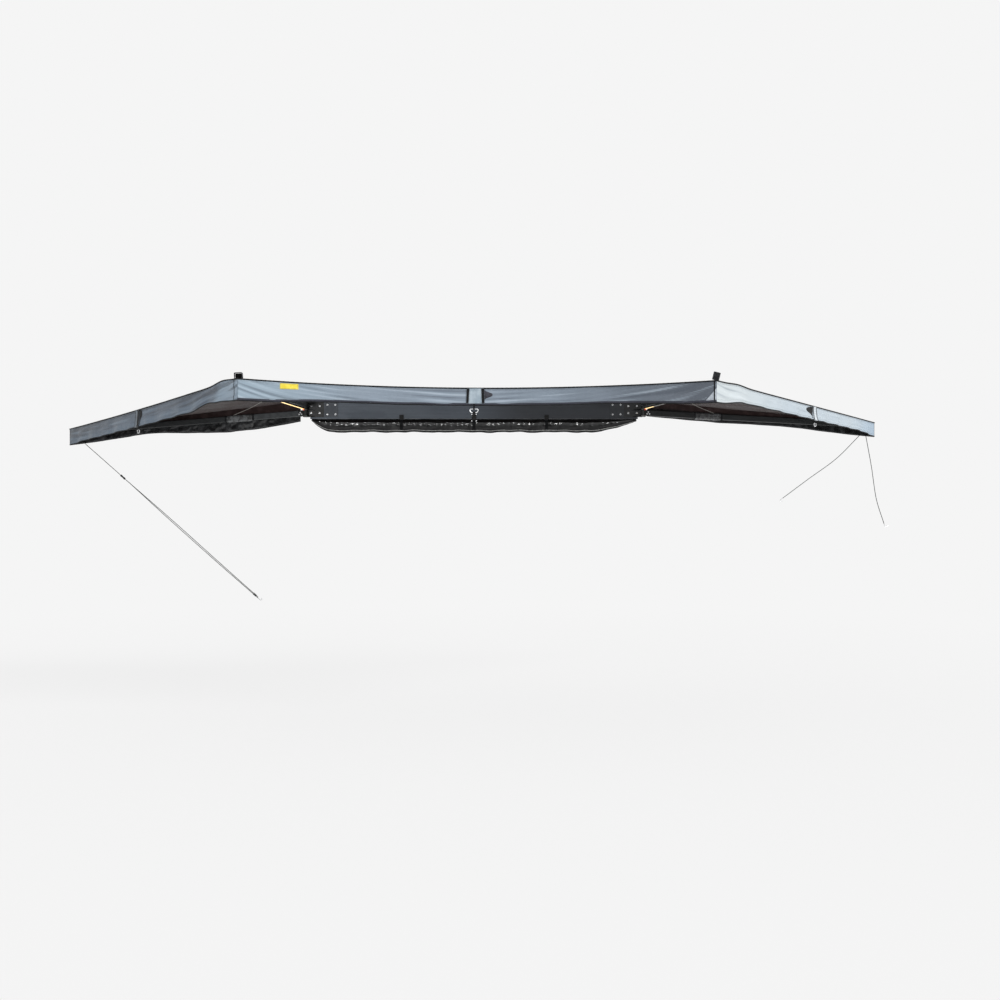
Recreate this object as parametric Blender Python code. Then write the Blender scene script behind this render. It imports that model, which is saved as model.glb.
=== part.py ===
"""Vehicle side awning with a straight centre canopy and a fan-shaped canopy round each end.

Metres, +Z up. The back rail lies along X, the vehicle is behind it at +Y, and the origin is under the
foot of the centre mount bracket. "rear" is the end at -X and "front" is the end at +X.
"""

import math

import bmesh
import bpy
from mathutils import Matrix, Vector
from mathutils.geometry import convex_hull_2d

for old_object in list(bpy.data.objects):
    bpy.data.objects.remove(old_object, do_unlink=True)

ENDS = ("rear", "front")
SIGN = {"rear": -1, "front": 1}

# Clearances between pieces
GAP = 0.0003
SEAM_GAP = 0.0004
PIN_CLEARANCE = 0.0003

# Back rail, an extrusion with one T-slot at the back, a bead groove on top and a lip at the foot
RAIL_LENGTH = 2.26
RAIL_HEIGHT = 0.12
RAIL_DEPTH = 0.03
RAIL_WALL = 0.0025
LIP_REACH = 0.003
LIP_HEIGHT = 0.004
SLOT_LEVEL = 0.07
SLOT_MOUTH = 0.009
SLOT_WIDTH = 0.018
SLOT_DEPTH = 0.009
SLOT_LIP = 0.0025
BEAD_RADIUS = 0.003
BEAD_CLEARANCE = 0.0007
BEAD_MOUTH = 0.003
BEAD_SETBACK = 0.008

# L-shaped mount brackets behind the rail
FOOT_REACH = 0.1
FOOT_WIDTH = 0.06
FOOT_THICKNESS = 0.005
LEG_HEIGHT = 0.1
FOOT_SPACING = 0.75
FOOT_SLOT_LENGTH = 0.03
FOOT_SLOT_WIDTH = 0.009
FOOT_SLOT_OFFSET = 0.016
GUSSET_REACH = 0.045
GUSSET_THICKNESS = 0.005
TEE_BOLT_HEAD = 0.008
TEE_BOLT_HEAD_HEIGHT = 0.005
TEE_NUT_THICKNESS = 0.004
TEE_NUT_INSET = 0.001

# Hubs at the rail's ends: the hinge pins, the bracket plates and their ears
HUB_OVERHANG = 0.03
PIN_REACH = {"rear": 0.03, "front": 0.07}
PIN_RADIUS = 0.006
PIN_HEAD_RADIUS = 0.011
PIN_HEAD_HEIGHT = 0.003
PLATE_LENGTH = 0.225
PLATE_THICKNESS = 0.004
PLATE_OVERHANG = 0.005
EAR_THICKNESS = 0.004
EAR_RADIUS = 0.017
EAR_ROOT = 0.065
BOTTOM_EAR_LEVEL = 0.011
BOLT_RADIUS = 0.006
BOLT_HEAD = 0.004
BOLT_PLACES = ((0.037, 0.024), (0.096, 0.024), (0.149, 0.033), (0.204, 0.033))

# Bushes and arms
FLANGE_RADIUS = 0.0145
FLANGE_THICKNESS = 0.0015
SLEEVE_WALL = 0.0025
ARM_WIDTH = 0.032
ARM_HEIGHT = 0.04
ARM_WALL = 0.0022
ARM_CORNER = 0.004
ARM_LENGTH = 2.075
SOCKET_START = 0.045
COLLAR_LENGTH = 0.012
NECK_INSET = 0.0002
PLUG_LENGTH = 0.06
PLUG_CORNER = 0.002
CAP_THICKNESS = 0.006
CAP_PLUG_LENGTH = 0.02
KNUCKLE_BOLT_RADIUS = 0.004
KNUCKLE_BOLT_HEAD = 0.002
KNUCKLE_BOLTS = ((0.02, 0.014), (0.03, 0.026), (0.04, 0.014))
MID_YAW = {"rear": math.radians(266.7), "front": math.radians(274.0)}
SIDE_YAW = {"rear": math.radians(152.5), "front": math.radians(29.0)}

# Lamp strip under each middle arm, and the fabric sleeve round each side arm
LAMP_START = 0.075
LAMP_LENGTH = 0.78
LAMP_WIDTH = 0.02
LAMP_HEIGHT = 0.01
LAMP_WALL = 0.0015
LENS_THICKNESS = 0.003
WRAP_START = 0.42
WRAP_LENGTH = 0.25
WRAP_THICKNESS = 0.0015
WRAP_CLEARANCE = 0.0004

# Canopy: cloth thickness, its corners over the arm tips, its edges and its skirt
CLOTH = 0.0015
APEX_INSET = 0.005
APEX_LEVEL = 0.131
CORNER_OVERHANG = 0.069
REST_CLEARANCE = 0.002
FLAP_OFFSET = 0.021
MID_CORNER_LEVEL = {"rear": 0.0975, "front": 0.0834}
SIDE_CORNER_LEVEL = {"rear": -0.0245, "front": 0.0243}
FAN_REACH = {"rear": 1.17, "front": 1.19}
FAN_LEVEL = {"rear": 0.0235, "front": 0.042}
FAN_START = 0.02
CENTRE_INSET = 0.3
CENTRE_LEVEL = 0.0665
CANOPY_SAG = 0.02
SKIRT_CORNER_HEIGHT = 0.115
SKIRT_TIP_HEIGHT = {"rear": 0.117, "front": 0.1}
SKIRT_MIDDLE_HEIGHT = {"centre": 0.094, "rear": 0.107, "front": 0.084}
SKIRT_TAPER = 0.6
FLAP_HEIGHT = {"rear": 0.12, "front": 0.105}
# How much deeper each flap hangs, at which share of its length, and how far the swell runs to either side
FLAP_SWELL = {"rear": 0.038, "front": -0.015}
FLAP_SWELL_PLACE = {"rear": 0.25, "front": 0.6}
FLAP_SWELL_REACH = {"rear": 0.42, "front": 0.33}
FOLD_LENGTH = 0.33
FOLD_DEPTH = 0.008
FOLD_SHIFT = {"centre": 0.4, "rear": 1.1, "front": 1.1}
FLAP_FOLD_DEPTH = 0.004
FLAP_START = 0.04
FOLD_FADE = 0.12
FLAP_FOLD_FADE = 0.4

# Straps and rings at the middle of each edge, and the hook on the centre ring
STRAP_HALF_WIDTH = {"centre": 0.044, "rear": 0.03, "front": 0.03}
WEBBING_WIDTH = 0.025
WEBBING = 0.0015
STRAP_DROP = 0.022
STRAP_BELOW_EDGE = 0.001
STRAP_BELOW_HEM = 0.004
STRAP_GAP = 0.0009
STRAP_CALM = 0.02
RING_WIRE = 0.0022
RING_HALF_WIDTH = 0.0235
RING_HEIGHT = 0.02
HOOK_EYE_RADIUS = 0.006
HOOK_EYE_LENGTH = 0.016
HOOK_HEIGHT = 0.045
HOOK_WIDTH = 0.034
HOOK_THICKNESS = 0.005
HOOK_ARM = 0.007
HOOK_WAIST = 0.005
HOOK_SHOULDER = 0.002
HOOK_STUD_RADIUS = 0.0028
HOOK_STUD_INSET = 0.0045

# Cover bag under the rail and its three buckles
BAG_INSET = 0.01
BAG_DROP = 0.088
BAG_HALF_DEPTH = 0.017
BAG_SETBACK = 0.0085
BAG_TAPER = {"rear": 0.15, "front": 0.33}
BAG_TOP_HALF_DEPTH = 0.008
BAG_END_DROP = 0.012
# The bag's lower line waves by these heights, at these paces along the rail
BAG_WAVES = ((0.002, 19), (-0.0015, 43))
BAG_LUMP = 0.16
BAG_CLEARANCE = 0.0006
BUCKLE_SPACING = 0.5
BUCKLE_WIDTH = 0.03
BUCKLE_THICKNESS = 0.0055
BUCKLE_LOW = -0.007
BUCKLE_HIGH = 0.027
BUCKLE_SLOT_LOW = 0.017
BUCKLE_SLOT_HIGH = 0.022
BUCKLE_SLOT_INSET = 0.004
BUCKLE_SLOT_DEPTH = 0.002

# Pull loops on the middle arms' canopy corners
PULL_SETBACK = 0.03
PULL_WALL = 0.0025
PULL_CORNER = 0.007
PULL_WIDTH = 0.038
LYING_LOOP = 0.045
LYING_LOOP_HEIGHT = 0.034
LEANING_LOOP = 0.046
LEANING_LOOP_DEPTH = 0.009
# How far each loop's lowest corner sits below the ridge, since the cloth falls away from there
PULL_SETTLE = {"rear": 0.0002, "front": 0.0016}

# Guy ropes and spreader cords, as routes chosen by hand, with the fittings on them
ROPE_RADIUS = 0.0025
SPREADER_RADIUS = 0.0015
ROPE_HOOK_SHANK = 0.022
ROPE_HOOK_BEND = 0.008
ROPE_FITTING_WIRE = 0.0025
SPREADER_SAG = 0.006
RUNNER_RADIUS = 0.008
RUNNER_WAIST = 0.0055
RUNNER_LENGTH = 0.045
RUNNER_SHARE = 0.22

# Worked out from the sizes above
HUB_OFFSET = RAIL_LENGTH / 2 + HUB_OVERHANG
APEX_OFFSET = RAIL_LENGTH / 2 - APEX_INSET
BAG_LENGTH = RAIL_LENGTH - 2 * BAG_INSET
CORNER_REACH = ARM_LENGTH + CAP_THICKNESS + CORNER_OVERHANG
PULL_REACH = CORNER_REACH - PULL_SETBACK
RAIL_BACK_Y = -(FOOT_REACH / 2 + GAP)
RAIL_FRONT_Y = RAIL_BACK_Y - RAIL_DEPTH
BEAD_Y = RAIL_FRONT_Y + BEAD_SETBACK
BEAD_LEVEL = RAIL_HEIGHT - BEAD_RADIUS - BEAD_CLEARANCE - 0.0015
BOTTOM_EAR_TOP = BOTTOM_EAR_LEVEL + EAR_THICKNESS
SIDE_FLANGE_LEVEL = BOTTOM_EAR_TOP + GAP
SIDE_ARM_LEVEL = SIDE_FLANGE_LEVEL + FLANGE_THICKNESS + GAP
SIDE_ARM_TOP = SIDE_ARM_LEVEL + ARM_HEIGHT
MID_EAR_LEVEL = SIDE_ARM_TOP + GAP
MID_FLANGE_LEVEL = MID_EAR_LEVEL + EAR_THICKNESS + GAP
MID_BARREL_LEVEL = MID_FLANGE_LEVEL + FLANGE_THICKNESS + GAP
MID_ARM_LEVEL = MID_FLANGE_LEVEL + LAMP_HEIGHT + 2 * GAP
MID_ARM_TOP = MID_ARM_LEVEL + ARM_HEIGHT
TOP_EAR_LEVEL = MID_ARM_TOP + GAP
TOP_EAR_TOP = TOP_EAR_LEVEL + EAR_THICKNESS
PIN = {end: Vector((SIGN[end] * HUB_OFFSET, RAIL_FRONT_Y - PIN_REACH[end], 0)) for end in ENDS}
APEX = {end: Vector((SIGN[end] * APEX_OFFSET, BEAD_Y, APEX_LEVEL)) for end in ENDS}

# Local x, y, z laid along the world's Y, Z, X, for outlines pushed along the rail
ALONG_RAIL = Matrix(((0, 0, 1, 0), (1, 0, 0, 0), (0, 1, 0, 0), (0, 0, 0, 1)))

# Base colour, roughness and metallic value of each finish
FINISHES = {
    "rail": ((0.045, 0.048, 0.055), 0.4, 0.6),
    "bracket": ((0.015, 0.015, 0.016), 0.45, 0.6),
    "steel": ((0.6, 0.6, 0.6), 0.3, 1.0),
    "nylon": ((0.75, 0.74, 0.7), 0.5, 0.0),
    "arm": ((0.045, 0.055, 0.052), 0.45, 0.5),
    "plastic": ((0.012, 0.012, 0.012), 0.4, 0.0),
    "lens": ((1.0, 0.8, 0.5), 0.3, 0.0),
    "canopy": ((0.17, 0.22, 0.28), 0.8, 0.0),
    "webbing": ((0.012, 0.012, 0.013), 0.8, 0.0),
    "strap": ((0.26, 0.33, 0.38), 0.8, 0.0),
    "bag": ((0.018, 0.018, 0.019), 0.3, 0.0),
    "rope": ((0.03, 0.032, 0.032), 0.8, 0.0),
    "cord": ((0.5, 0.5, 0.48), 0.7, 0.0),
}


# Building blocks


def give_material(data, name, finish):
    colour, roughness, metallic = FINISHES[finish]
    material = bpy.data.materials.new(name)
    material.use_nodes = True
    shader = material.node_tree.nodes["Principled BSDF"]
    shader.inputs["Base Color"].default_value = (*colour, 1.0)
    shader.inputs["Roughness"].default_value = roughness
    shader.inputs["Metallic"].default_value = metallic
    data.materials.append(material)


def place(name, data, finish, matrix, parent):
    """Adds the object at a matrix in its parent's space, or in the world's where it has no parent."""
    give_material(data, name, finish)
    made = bpy.data.objects.new(name, data)
    bpy.context.scene.collection.objects.link(made)
    made.parent = parent
    made.matrix_local = matrix
    return made


def add_solid(name, shape, finish, matrix=Matrix(), parent=None, smooth=False):
    """Adds a closed bmesh as an object, with its faces turned out."""
    bmesh.ops.recalc_face_normals(shape, faces=shape.faces)
    mesh = bpy.data.meshes.new(name)
    shape.to_mesh(mesh)
    shape.free()
    if smooth:
        mesh.shade_smooth()
        mesh.set_sharp_from_angle(angle=math.radians(40))
    return place(name, mesh, finish, matrix, parent)


def add_helper(target, shape, operation, matrix=Matrix()):
    """Joins a shape to the target or cuts it out, as a hidden object in the target's own space."""
    helper = add_solid(target.name + "_" + operation.lower(), shape, "plastic", matrix, target)
    helper.hide_render = True
    helper.display_type = "WIRE"
    modifier = target.modifiers.new(operation.title(), "BOOLEAN")
    modifier.operation = operation
    modifier.solver = "EXACT"
    modifier.object = helper


def prism(outline, low, high):
    """A closed solid with this outline, from low to high along Z."""
    shape = bmesh.new()
    bottom = [shape.verts.new((x, y, low)) for x, y in outline]
    top = [shape.verts.new((x, y, high)) for x, y in outline]
    shape.faces.new(reversed(bottom))
    shape.faces.new(top)
    for i in range(len(outline)):
        j = (i + 1) % len(outline)
        shape.faces.new((bottom[i], bottom[j], top[j], top[i]))
    return shape


def hollow_prism(outer, inner, low, high):
    """A tube between two outlines with the same number of points, open at both ends."""
    shape = bmesh.new()
    rings = []
    for outline, z in ((outer, low), (outer, high), (inner, high), (inner, low)):
        rings.append([shape.verts.new((x, y, z)) for x, y in outline])
    for k in range(4):
        ring, following = rings[k], rings[(k + 1) % 4]
        for i in range(len(outer)):
            j = (i + 1) % len(outer)
            shape.faces.new((ring[i], ring[j], following[j], following[i]))
    return shape


def turned(profile, segments=20):
    """A solid turned about Z from a closed profile of (radius, height), with radius 0 on the axis."""
    shape = bmesh.new()
    rings = []
    for radius, height in profile:
        if radius == 0:
            rings.append([shape.verts.new((0, 0, height))])
            continue
        ring = []
        for k in range(segments):
            angle = 2 * math.pi * k / segments
            ring.append(shape.verts.new((radius * math.cos(angle), radius * math.sin(angle), height)))
        rings.append(ring)
    for k, ring in enumerate(rings):
        following = rings[(k + 1) % len(rings)]
        if len(ring) == 1 and len(following) == 1:
            continue
        for i in range(segments):
            j = (i + 1) % segments
            corners = [ring[i % len(ring)], ring[j % len(ring)]]
            corners += [following[j % len(following)], following[i % len(following)]]
            unlike = list(dict.fromkeys(corners))
            shape.faces.new(unlike)
    return shape


def cylinder(radius, low, high, segments=20):
    return turned(((0, low), (radius, low), (radius, high), (0, high)), segments)


def rectangle(x_low, x_high, y_low, y_high):
    return [(x_low, y_low), (x_high, y_low), (x_high, y_high), (x_low, y_high)]


def rounded_rectangle(width, height, radius, y_low=0.0, steps=3):
    """Centred across x and standing on y_low, with round corners."""
    outline = []
    corners = (
        (width / 2 - radius, y_low + radius, -90),
        (width / 2 - radius, y_low + height - radius, 0),
        (-width / 2 + radius, y_low + height - radius, 90),
        (-width / 2 + radius, y_low + radius, 180),
    )
    for x, y, start in corners:
        for k in range(steps + 1):
            angle = math.radians(start + 90 * k / steps)
            outline.append((x + radius * math.cos(angle), y + radius * math.sin(angle)))
    return outline


def circle(x, y, radius, segments=20):
    angles = [2 * math.pi * k / segments for k in range(segments)]
    return [(x + radius * math.cos(a), y + radius * math.sin(a)) for a in angles]


def hull(points):
    return [points[i] for i in convex_hull_2d([Vector(p) for p in points])]


def add_tube(name, points, radius, finish, parent, cyclic=False, resolution=2):
    """A round wire or rope through the points, as a curve with a bevel and closed ends."""
    curve = bpy.data.curves.new(name, "CURVE")
    curve.dimensions = "3D"
    curve.bevel_depth = radius
    curve.bevel_resolution = resolution
    curve.use_fill_caps = True
    spline = curve.splines.new("POLY")
    spline.points.add(len(points) - 1)
    for place_on_spline, point in zip(spline.points, points):
        place_on_spline.co = (*point, 1.0)
    spline.use_cyclic_u = cyclic
    return place(name, curve, finish, world_to(parent), parent)


def add_cloth(name, rows, finish, parent):
    """A cloth panel from rows of points, thickened on its outer side.

    Each row runs anticlockwise seen from above, and the rows go outwards and then down.
    """
    shape = bmesh.new()
    grid = [[shape.verts.new(point) for point in row] for row in rows]
    for upper, lower in zip(grid, grid[1:]):
        for k in range(len(upper) - 1):
            shape.faces.new((upper[k], lower[k], lower[k + 1], upper[k + 1]))
    mesh = bpy.data.meshes.new(name)
    shape.to_mesh(mesh)
    shape.free()
    mesh.shade_smooth()
    mesh.set_sharp_from_angle(angle=math.radians(50))
    panel = place(name, mesh, finish, world_to(parent), parent)
    solidify = panel.modifiers.new("Cloth thickness", "SOLIDIFY")
    solidify.thickness = CLOTH
    solidify.offset = 1.0
    solidify.use_even_offset = True
    return panel


# Frames of the hinges and arms


def hinge_empty(name, end, yaw, parent, parent_yaw):
    empty = bpy.data.objects.new(name, None)
    bpy.context.scene.collection.objects.link(empty)
    empty.parent = parent
    if parent is None:
        empty.matrix_local = Matrix.Translation(PIN[end]) @ Matrix.Rotation(yaw, 4, "Z")
    else:
        empty.matrix_local = Matrix.Rotation(yaw - parent_yaw, 4, "Z")
    HINGE_FRAME[name] = Matrix.Translation(PIN[end]) @ Matrix.Rotation(yaw, 4, "Z")
    return empty


def world_to(parent):
    """The matrix that puts points given in the world into an object under this parent."""
    return Matrix() if parent is None else HINGE_FRAME[parent.name].inverted()


def droop(level, corner_level):
    """The angle by which an arm hangs below level, so that its canopy corner is where it should be."""
    return math.asin((level - (corner_level - REST_CLEARANCE)) / CORNER_REACH)


def arm_frame(kind, end):
    """An arm's own frame in its hinge's: x along the arm from the pin, z up from its underside."""
    if kind == "mid":
        level, angle = MID_ARM_LEVEL, droop(MID_ARM_TOP, MID_CORNER_LEVEL[end])
    else:
        level, angle = SIDE_ARM_LEVEL, droop(SIDE_ARM_TOP, SIDE_CORNER_LEVEL[end])
    return Matrix.Translation((0, 0, level)) @ Matrix.Rotation(angle, 4, "Y")


HINGE_FRAME = {}
HINGE = {}
for end in ENDS:
    mid_empty = hinge_empty(end + "_mid_hinge", end, MID_YAW[end], None, 0)
    side_empty = hinge_empty(end + "_side_hinge", end, SIDE_YAW[end], mid_empty, MID_YAW[end])
    HINGE[end, "mid"] = mid_empty
    HINGE[end, "side"] = side_empty


# Back rail and mount brackets


def rail_outline():
    """The extrusion's outer outline in Y and Z, anticlockwise seen from the front end."""
    slot_low, slot_high = SLOT_LEVEL - SLOT_WIDTH / 2, SLOT_LEVEL + SLOT_WIDTH / 2
    mouth_low, mouth_high = SLOT_LEVEL - SLOT_MOUTH / 2, SLOT_LEVEL + SLOT_MOUTH / 2
    back, front = RAIL_BACK_Y, RAIL_FRONT_Y
    outline = [(front - LIP_REACH, 0), (back, 0), (back, mouth_low)]
    outline += [(back - SLOT_LIP, mouth_low), (back - SLOT_LIP, slot_low)]
    outline += [(back - SLOT_DEPTH, slot_low), (back - SLOT_DEPTH, slot_high)]
    outline += [(back - SLOT_LIP, slot_high), (back - SLOT_LIP, mouth_high)]
    outline += [(back, mouth_high), (back, RAIL_HEIGHT)]
    groove = BEAD_RADIUS + BEAD_CLEARANCE
    half_mouth = BEAD_MOUTH / 2
    start = math.acos(half_mouth / groove)
    outline.append((BEAD_Y + half_mouth, RAIL_HEIGHT))
    for k in range(13):
        angle = start - (math.pi + 2 * start) * k / 12
        outline.append((BEAD_Y + groove * math.cos(angle), BEAD_LEVEL + groove * math.sin(angle)))
    outline.append((BEAD_Y - half_mouth, RAIL_HEIGHT))
    outline += [(front, RAIL_HEIGHT), (front, LIP_HEIGHT), (front - LIP_REACH, LIP_HEIGHT)]
    return outline


def add_back_rail():
    solid = prism(rail_outline(), -RAIL_LENGTH / 2, RAIL_LENGTH / 2)
    rail = add_solid("back_rail", solid, "rail", ALONG_RAIL)
    chamber_front = RAIL_FRONT_Y + RAIL_WALL
    chamber_back = RAIL_BACK_Y - SLOT_DEPTH - RAIL_WALL
    chamber_top = BEAD_LEVEL - BEAD_RADIUS - BEAD_CLEARANCE - RAIL_WALL
    lower_top = SLOT_LEVEL - SLOT_WIDTH / 2 - RAIL_WALL
    chamber = [(chamber_front, RAIL_WALL), (RAIL_BACK_Y - RAIL_WALL, RAIL_WALL)]
    chamber += [(RAIL_BACK_Y - RAIL_WALL, lower_top), (chamber_back, lower_top)]
    chamber += [(chamber_back, chamber_top), (chamber_front, chamber_top)]
    half = RAIL_LENGTH / 2 + 0.01
    add_helper(rail, prism(chamber, -half, half), "DIFFERENCE")


def add_mount_bracket(name, x):
    """A bent steel angle: the leg bolts to the rail's T-slot, and the slotted foot rests on a roof bar."""
    back = RAIL_BACK_Y + GAP
    bend = FOOT_THICKNESS
    leg_face, foot_end = back + FOOT_THICKNESS, back + FOOT_REACH
    outline = [(back, 0), (foot_end, 0), (foot_end, FOOT_THICKNESS), (leg_face + bend, FOOT_THICKNESS)]
    outline += [(leg_face, FOOT_THICKNESS + bend), (leg_face, LEG_HEIGHT), (back, LEG_HEIGHT)]
    solid = prism(outline, -FOOT_WIDTH / 2, FOOT_WIDTH / 2)
    bracket = add_solid(name, solid, "bracket", Matrix.Translation((x, 0, 0)) @ ALONG_RAIL)
    to_world = ALONG_RAIL.inverted()
    slot_corner = FOOT_SLOT_WIDTH / 2 - 0.0001
    for side in (-1, 1):
        slot = rounded_rectangle(FOOT_SLOT_WIDTH, FOOT_SLOT_LENGTH, slot_corner, -FOOT_SLOT_LENGTH / 2)
        cut = prism(slot, -0.01, FOOT_THICKNESS + 0.01)
        slot_place = Matrix.Translation((side * FOOT_SLOT_OFFSET, 0, 0))
        add_helper(bracket, cut, "DIFFERENCE", to_world @ slot_place)
    root = FOOT_THICKNESS / 2
    gusset = [(root, root), (GUSSET_REACH, root), (root, GUSSET_REACH)]
    web = prism(gusset, -GUSSET_THICKNESS / 2, GUSSET_THICKNESS / 2)
    add_helper(bracket, web, "UNION", Matrix.Translation((back, 0, 0)))
    bolt_place = Matrix.Translation((0, RAIL_BACK_Y, SLOT_LEVEL))
    bolt_frame = to_world @ bolt_place @ Matrix.Rotation(math.pi / 2, 4, "X")
    leg_back = -(GAP + FOOT_THICKNESS)
    in_leg = leg_back + 0.001
    head_low = leg_back - TEE_BOLT_HEAD_HEIGHT
    nut_low = SLOT_LIP + GAP
    nut_high = nut_low + TEE_NUT_THICKNESS
    nut_radius = SLOT_WIDTH / 2 - TEE_NUT_INSET
    shank = SLOT_MOUTH / 2 - GAP - 0.0002
    tee_bolt = [(0, head_low), (TEE_BOLT_HEAD, head_low), (TEE_BOLT_HEAD, in_leg), (shank, in_leg)]
    tee_bolt += [(shank, nut_low), (nut_radius, nut_low), (nut_radius, nut_high), (0, nut_high)]
    add_helper(bracket, turned(tee_bolt, 12), "UNION", bolt_frame)


add_back_rail()
for name, place_along in (("rear", -FOOT_SPACING), ("centre", 0), ("front", FOOT_SPACING)):
    add_mount_bracket("mount_bracket_" + name, place_along)


# End brackets, hinge pins and bushes


def add_end_bracket(end):
    """The plate bolted to the rail's front with three ears that hold the hinge pin between them."""
    sign = SIGN[end]
    pin = PIN[end]
    plate_front = RAIL_FRONT_Y - GAP - PLATE_THICKNESS
    x_ends = sorted((pin.x + sign * PLATE_OVERHANG, pin.x - sign * (PLATE_LENGTH - PLATE_OVERHANG)))
    outline = rectangle(x_ends[0], x_ends[1], plate_front, RAIL_FRONT_Y - GAP)
    bracket = add_solid(
        end + "_end_bracket", prism(outline, BOTTOM_EAR_LEVEL, TOP_EAR_TOP), "bracket"
    )
    root_y = plate_front + PLATE_THICKNESS / 2
    ear = circle(pin.x, pin.y, EAR_RADIUS) + [(pin.x, root_y), (pin.x - sign * EAR_ROOT, root_y)]
    for level in (BOTTOM_EAR_LEVEL, MID_EAR_LEVEL, TOP_EAR_LEVEL):
        add_helper(bracket, prism(hull(ear), level, level + EAR_THICKNESS), "UNION")
    middle = (BOTTOM_EAR_LEVEL + TOP_EAR_TOP) / 2
    into_plate = Matrix.Rotation(math.pi / 2, 4, "X")
    for along, rise in BOLT_PLACES:
        for up in (-rise, rise):
            head = cylinder(BOLT_RADIUS, -PLATE_THICKNESS / 2, BOLT_HEAD, 6)
            spot = Vector((pin.x - sign * along, plate_front, middle + up))
            add_helper(bracket, head, "UNION", Matrix.Translation(spot) @ into_plate)
    hole = cylinder(PIN_RADIUS + PIN_CLEARANCE, 0, RAIL_HEIGHT + 0.02)
    add_helper(bracket, hole, "DIFFERENCE", Matrix.Translation(pin))


def add_hinge_pin(end):
    low = BOTTOM_EAR_LEVEL - GAP
    high = TOP_EAR_TOP + GAP
    profile = [(0, low - PIN_HEAD_HEIGHT), (PIN_HEAD_RADIUS - 0.001, low - PIN_HEAD_HEIGHT)]
    profile += [(PIN_HEAD_RADIUS - 0.001, low), (PIN_RADIUS, low), (PIN_RADIUS, high)]
    profile += [(PIN_HEAD_RADIUS, high), (PIN_HEAD_RADIUS - 0.001, high + PIN_HEAD_HEIGHT)]
    profile += [(0, high + PIN_HEAD_HEIGHT)]
    add_solid(end + "_hinge_pin", turned(profile), "steel", Matrix.Translation(PIN[end]), smooth=True)


def add_bush(kind, end, level, top):
    """The flanged nylon bush that a knuckle's barrel turns on."""
    bore = PIN_RADIUS + PIN_CLEARANCE
    sleeve = bore + SLEEVE_WALL
    profile = [(bore, level), (FLANGE_RADIUS, level), (FLANGE_RADIUS, level + FLANGE_THICKNESS)]
    profile += [(sleeve, level + FLANGE_THICKNESS), (sleeve, top), (bore, top)]
    name = end + "_" + kind + "_bush"
    add_solid(name, turned(profile), "nylon", parent=HINGE[end, kind], smooth=True)


for end in ENDS:
    add_end_bracket(end)
    add_hinge_pin(end)
    add_bush("side", end, SIDE_FLANGE_LEVEL, SIDE_ARM_TOP)
    add_bush("mid", end, MID_FLANGE_LEVEL, MID_ARM_TOP)


# Arms


def add_knuckle(kind, end, barrel_low, barrel_high):
    """The barrel on the pin with a solid neck, and a plug that goes into the arm's tube."""
    level = MID_ARM_LEVEL if kind == "mid" else SIDE_ARM_LEVEL
    frame = arm_frame(kind, end)
    half = ARM_WIDTH / 2
    knuckle = add_solid(
        end + "_" + kind + "_knuckle",
        cylinder(half, barrel_low, barrel_high, 24),
        "plastic",
        parent=HINGE[end, kind],
        smooth=True,
    )
    neck_half = half - NECK_INSET
    neck_end = SOCKET_START - 2 * COLLAR_LENGTH / 3
    neck = circle(0, 0, neck_half, 24) + [(neck_end, -neck_half), (neck_end, neck_half)]
    add_helper(knuckle, prism(hull(neck), level + NECK_INSET, barrel_high - NECK_INSET), "UNION")
    collar = rounded_rectangle(ARM_WIDTH, ARM_HEIGHT, ARM_CORNER)
    into_arm = frame @ ALONG_RAIL
    add_helper(knuckle, prism(collar, SOCKET_START - COLLAR_LENGTH, SOCKET_START), "UNION", into_arm)
    inset = ARM_WALL + GAP
    plug = rounded_rectangle(ARM_WIDTH - 2 * inset, ARM_HEIGHT - 2 * inset, PLUG_CORNER, inset, 1)
    plug_start = SOCKET_START - COLLAR_LENGTH / 2
    add_helper(knuckle, prism(plug, plug_start, SOCKET_START + PLUG_LENGTH), "UNION", into_arm)
    if kind == "side":
        add_knuckle_bolts(knuckle, end, frame)
    bore = cylinder(PIN_RADIUS + PIN_CLEARANCE + SLEEVE_WALL + GAP, 0, RAIL_HEIGHT + 0.02)
    add_helper(knuckle, bore, "DIFFERENCE")


def add_knuckle_bolts(knuckle, end, frame):
    """Three cap screws in a triangle on the face that looks away from the vehicle."""
    outer = -SIGN[end]
    turn = Matrix.Rotation(-outer * math.pi / 2, 4, "X")
    for along, up in KNUCKLE_BOLTS:
        spot = Vector((along, outer * ARM_WIDTH / 2, up))
        head = cylinder(KNUCKLE_BOLT_RADIUS, -0.004, KNUCKLE_BOLT_HEAD, 8)
        add_helper(knuckle, head, "UNION", frame @ Matrix.Translation(spot) @ turn)


def add_arm_tube(kind, end):
    outer = rounded_rectangle(ARM_WIDTH, ARM_HEIGHT, ARM_CORNER)
    inner_width, inner_height = ARM_WIDTH - 2 * ARM_WALL, ARM_HEIGHT - 2 * ARM_WALL
    inner = rounded_rectangle(inner_width, inner_height, ARM_CORNER - ARM_WALL, ARM_WALL)
    tube = hollow_prism(outer, inner, SOCKET_START + GAP, ARM_LENGTH)
    frame = arm_frame(kind, end) @ ALONG_RAIL
    add_solid(end + "_" + kind + "_arm_tube", tube, "arm", frame, HINGE[end, kind], smooth=True)


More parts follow.
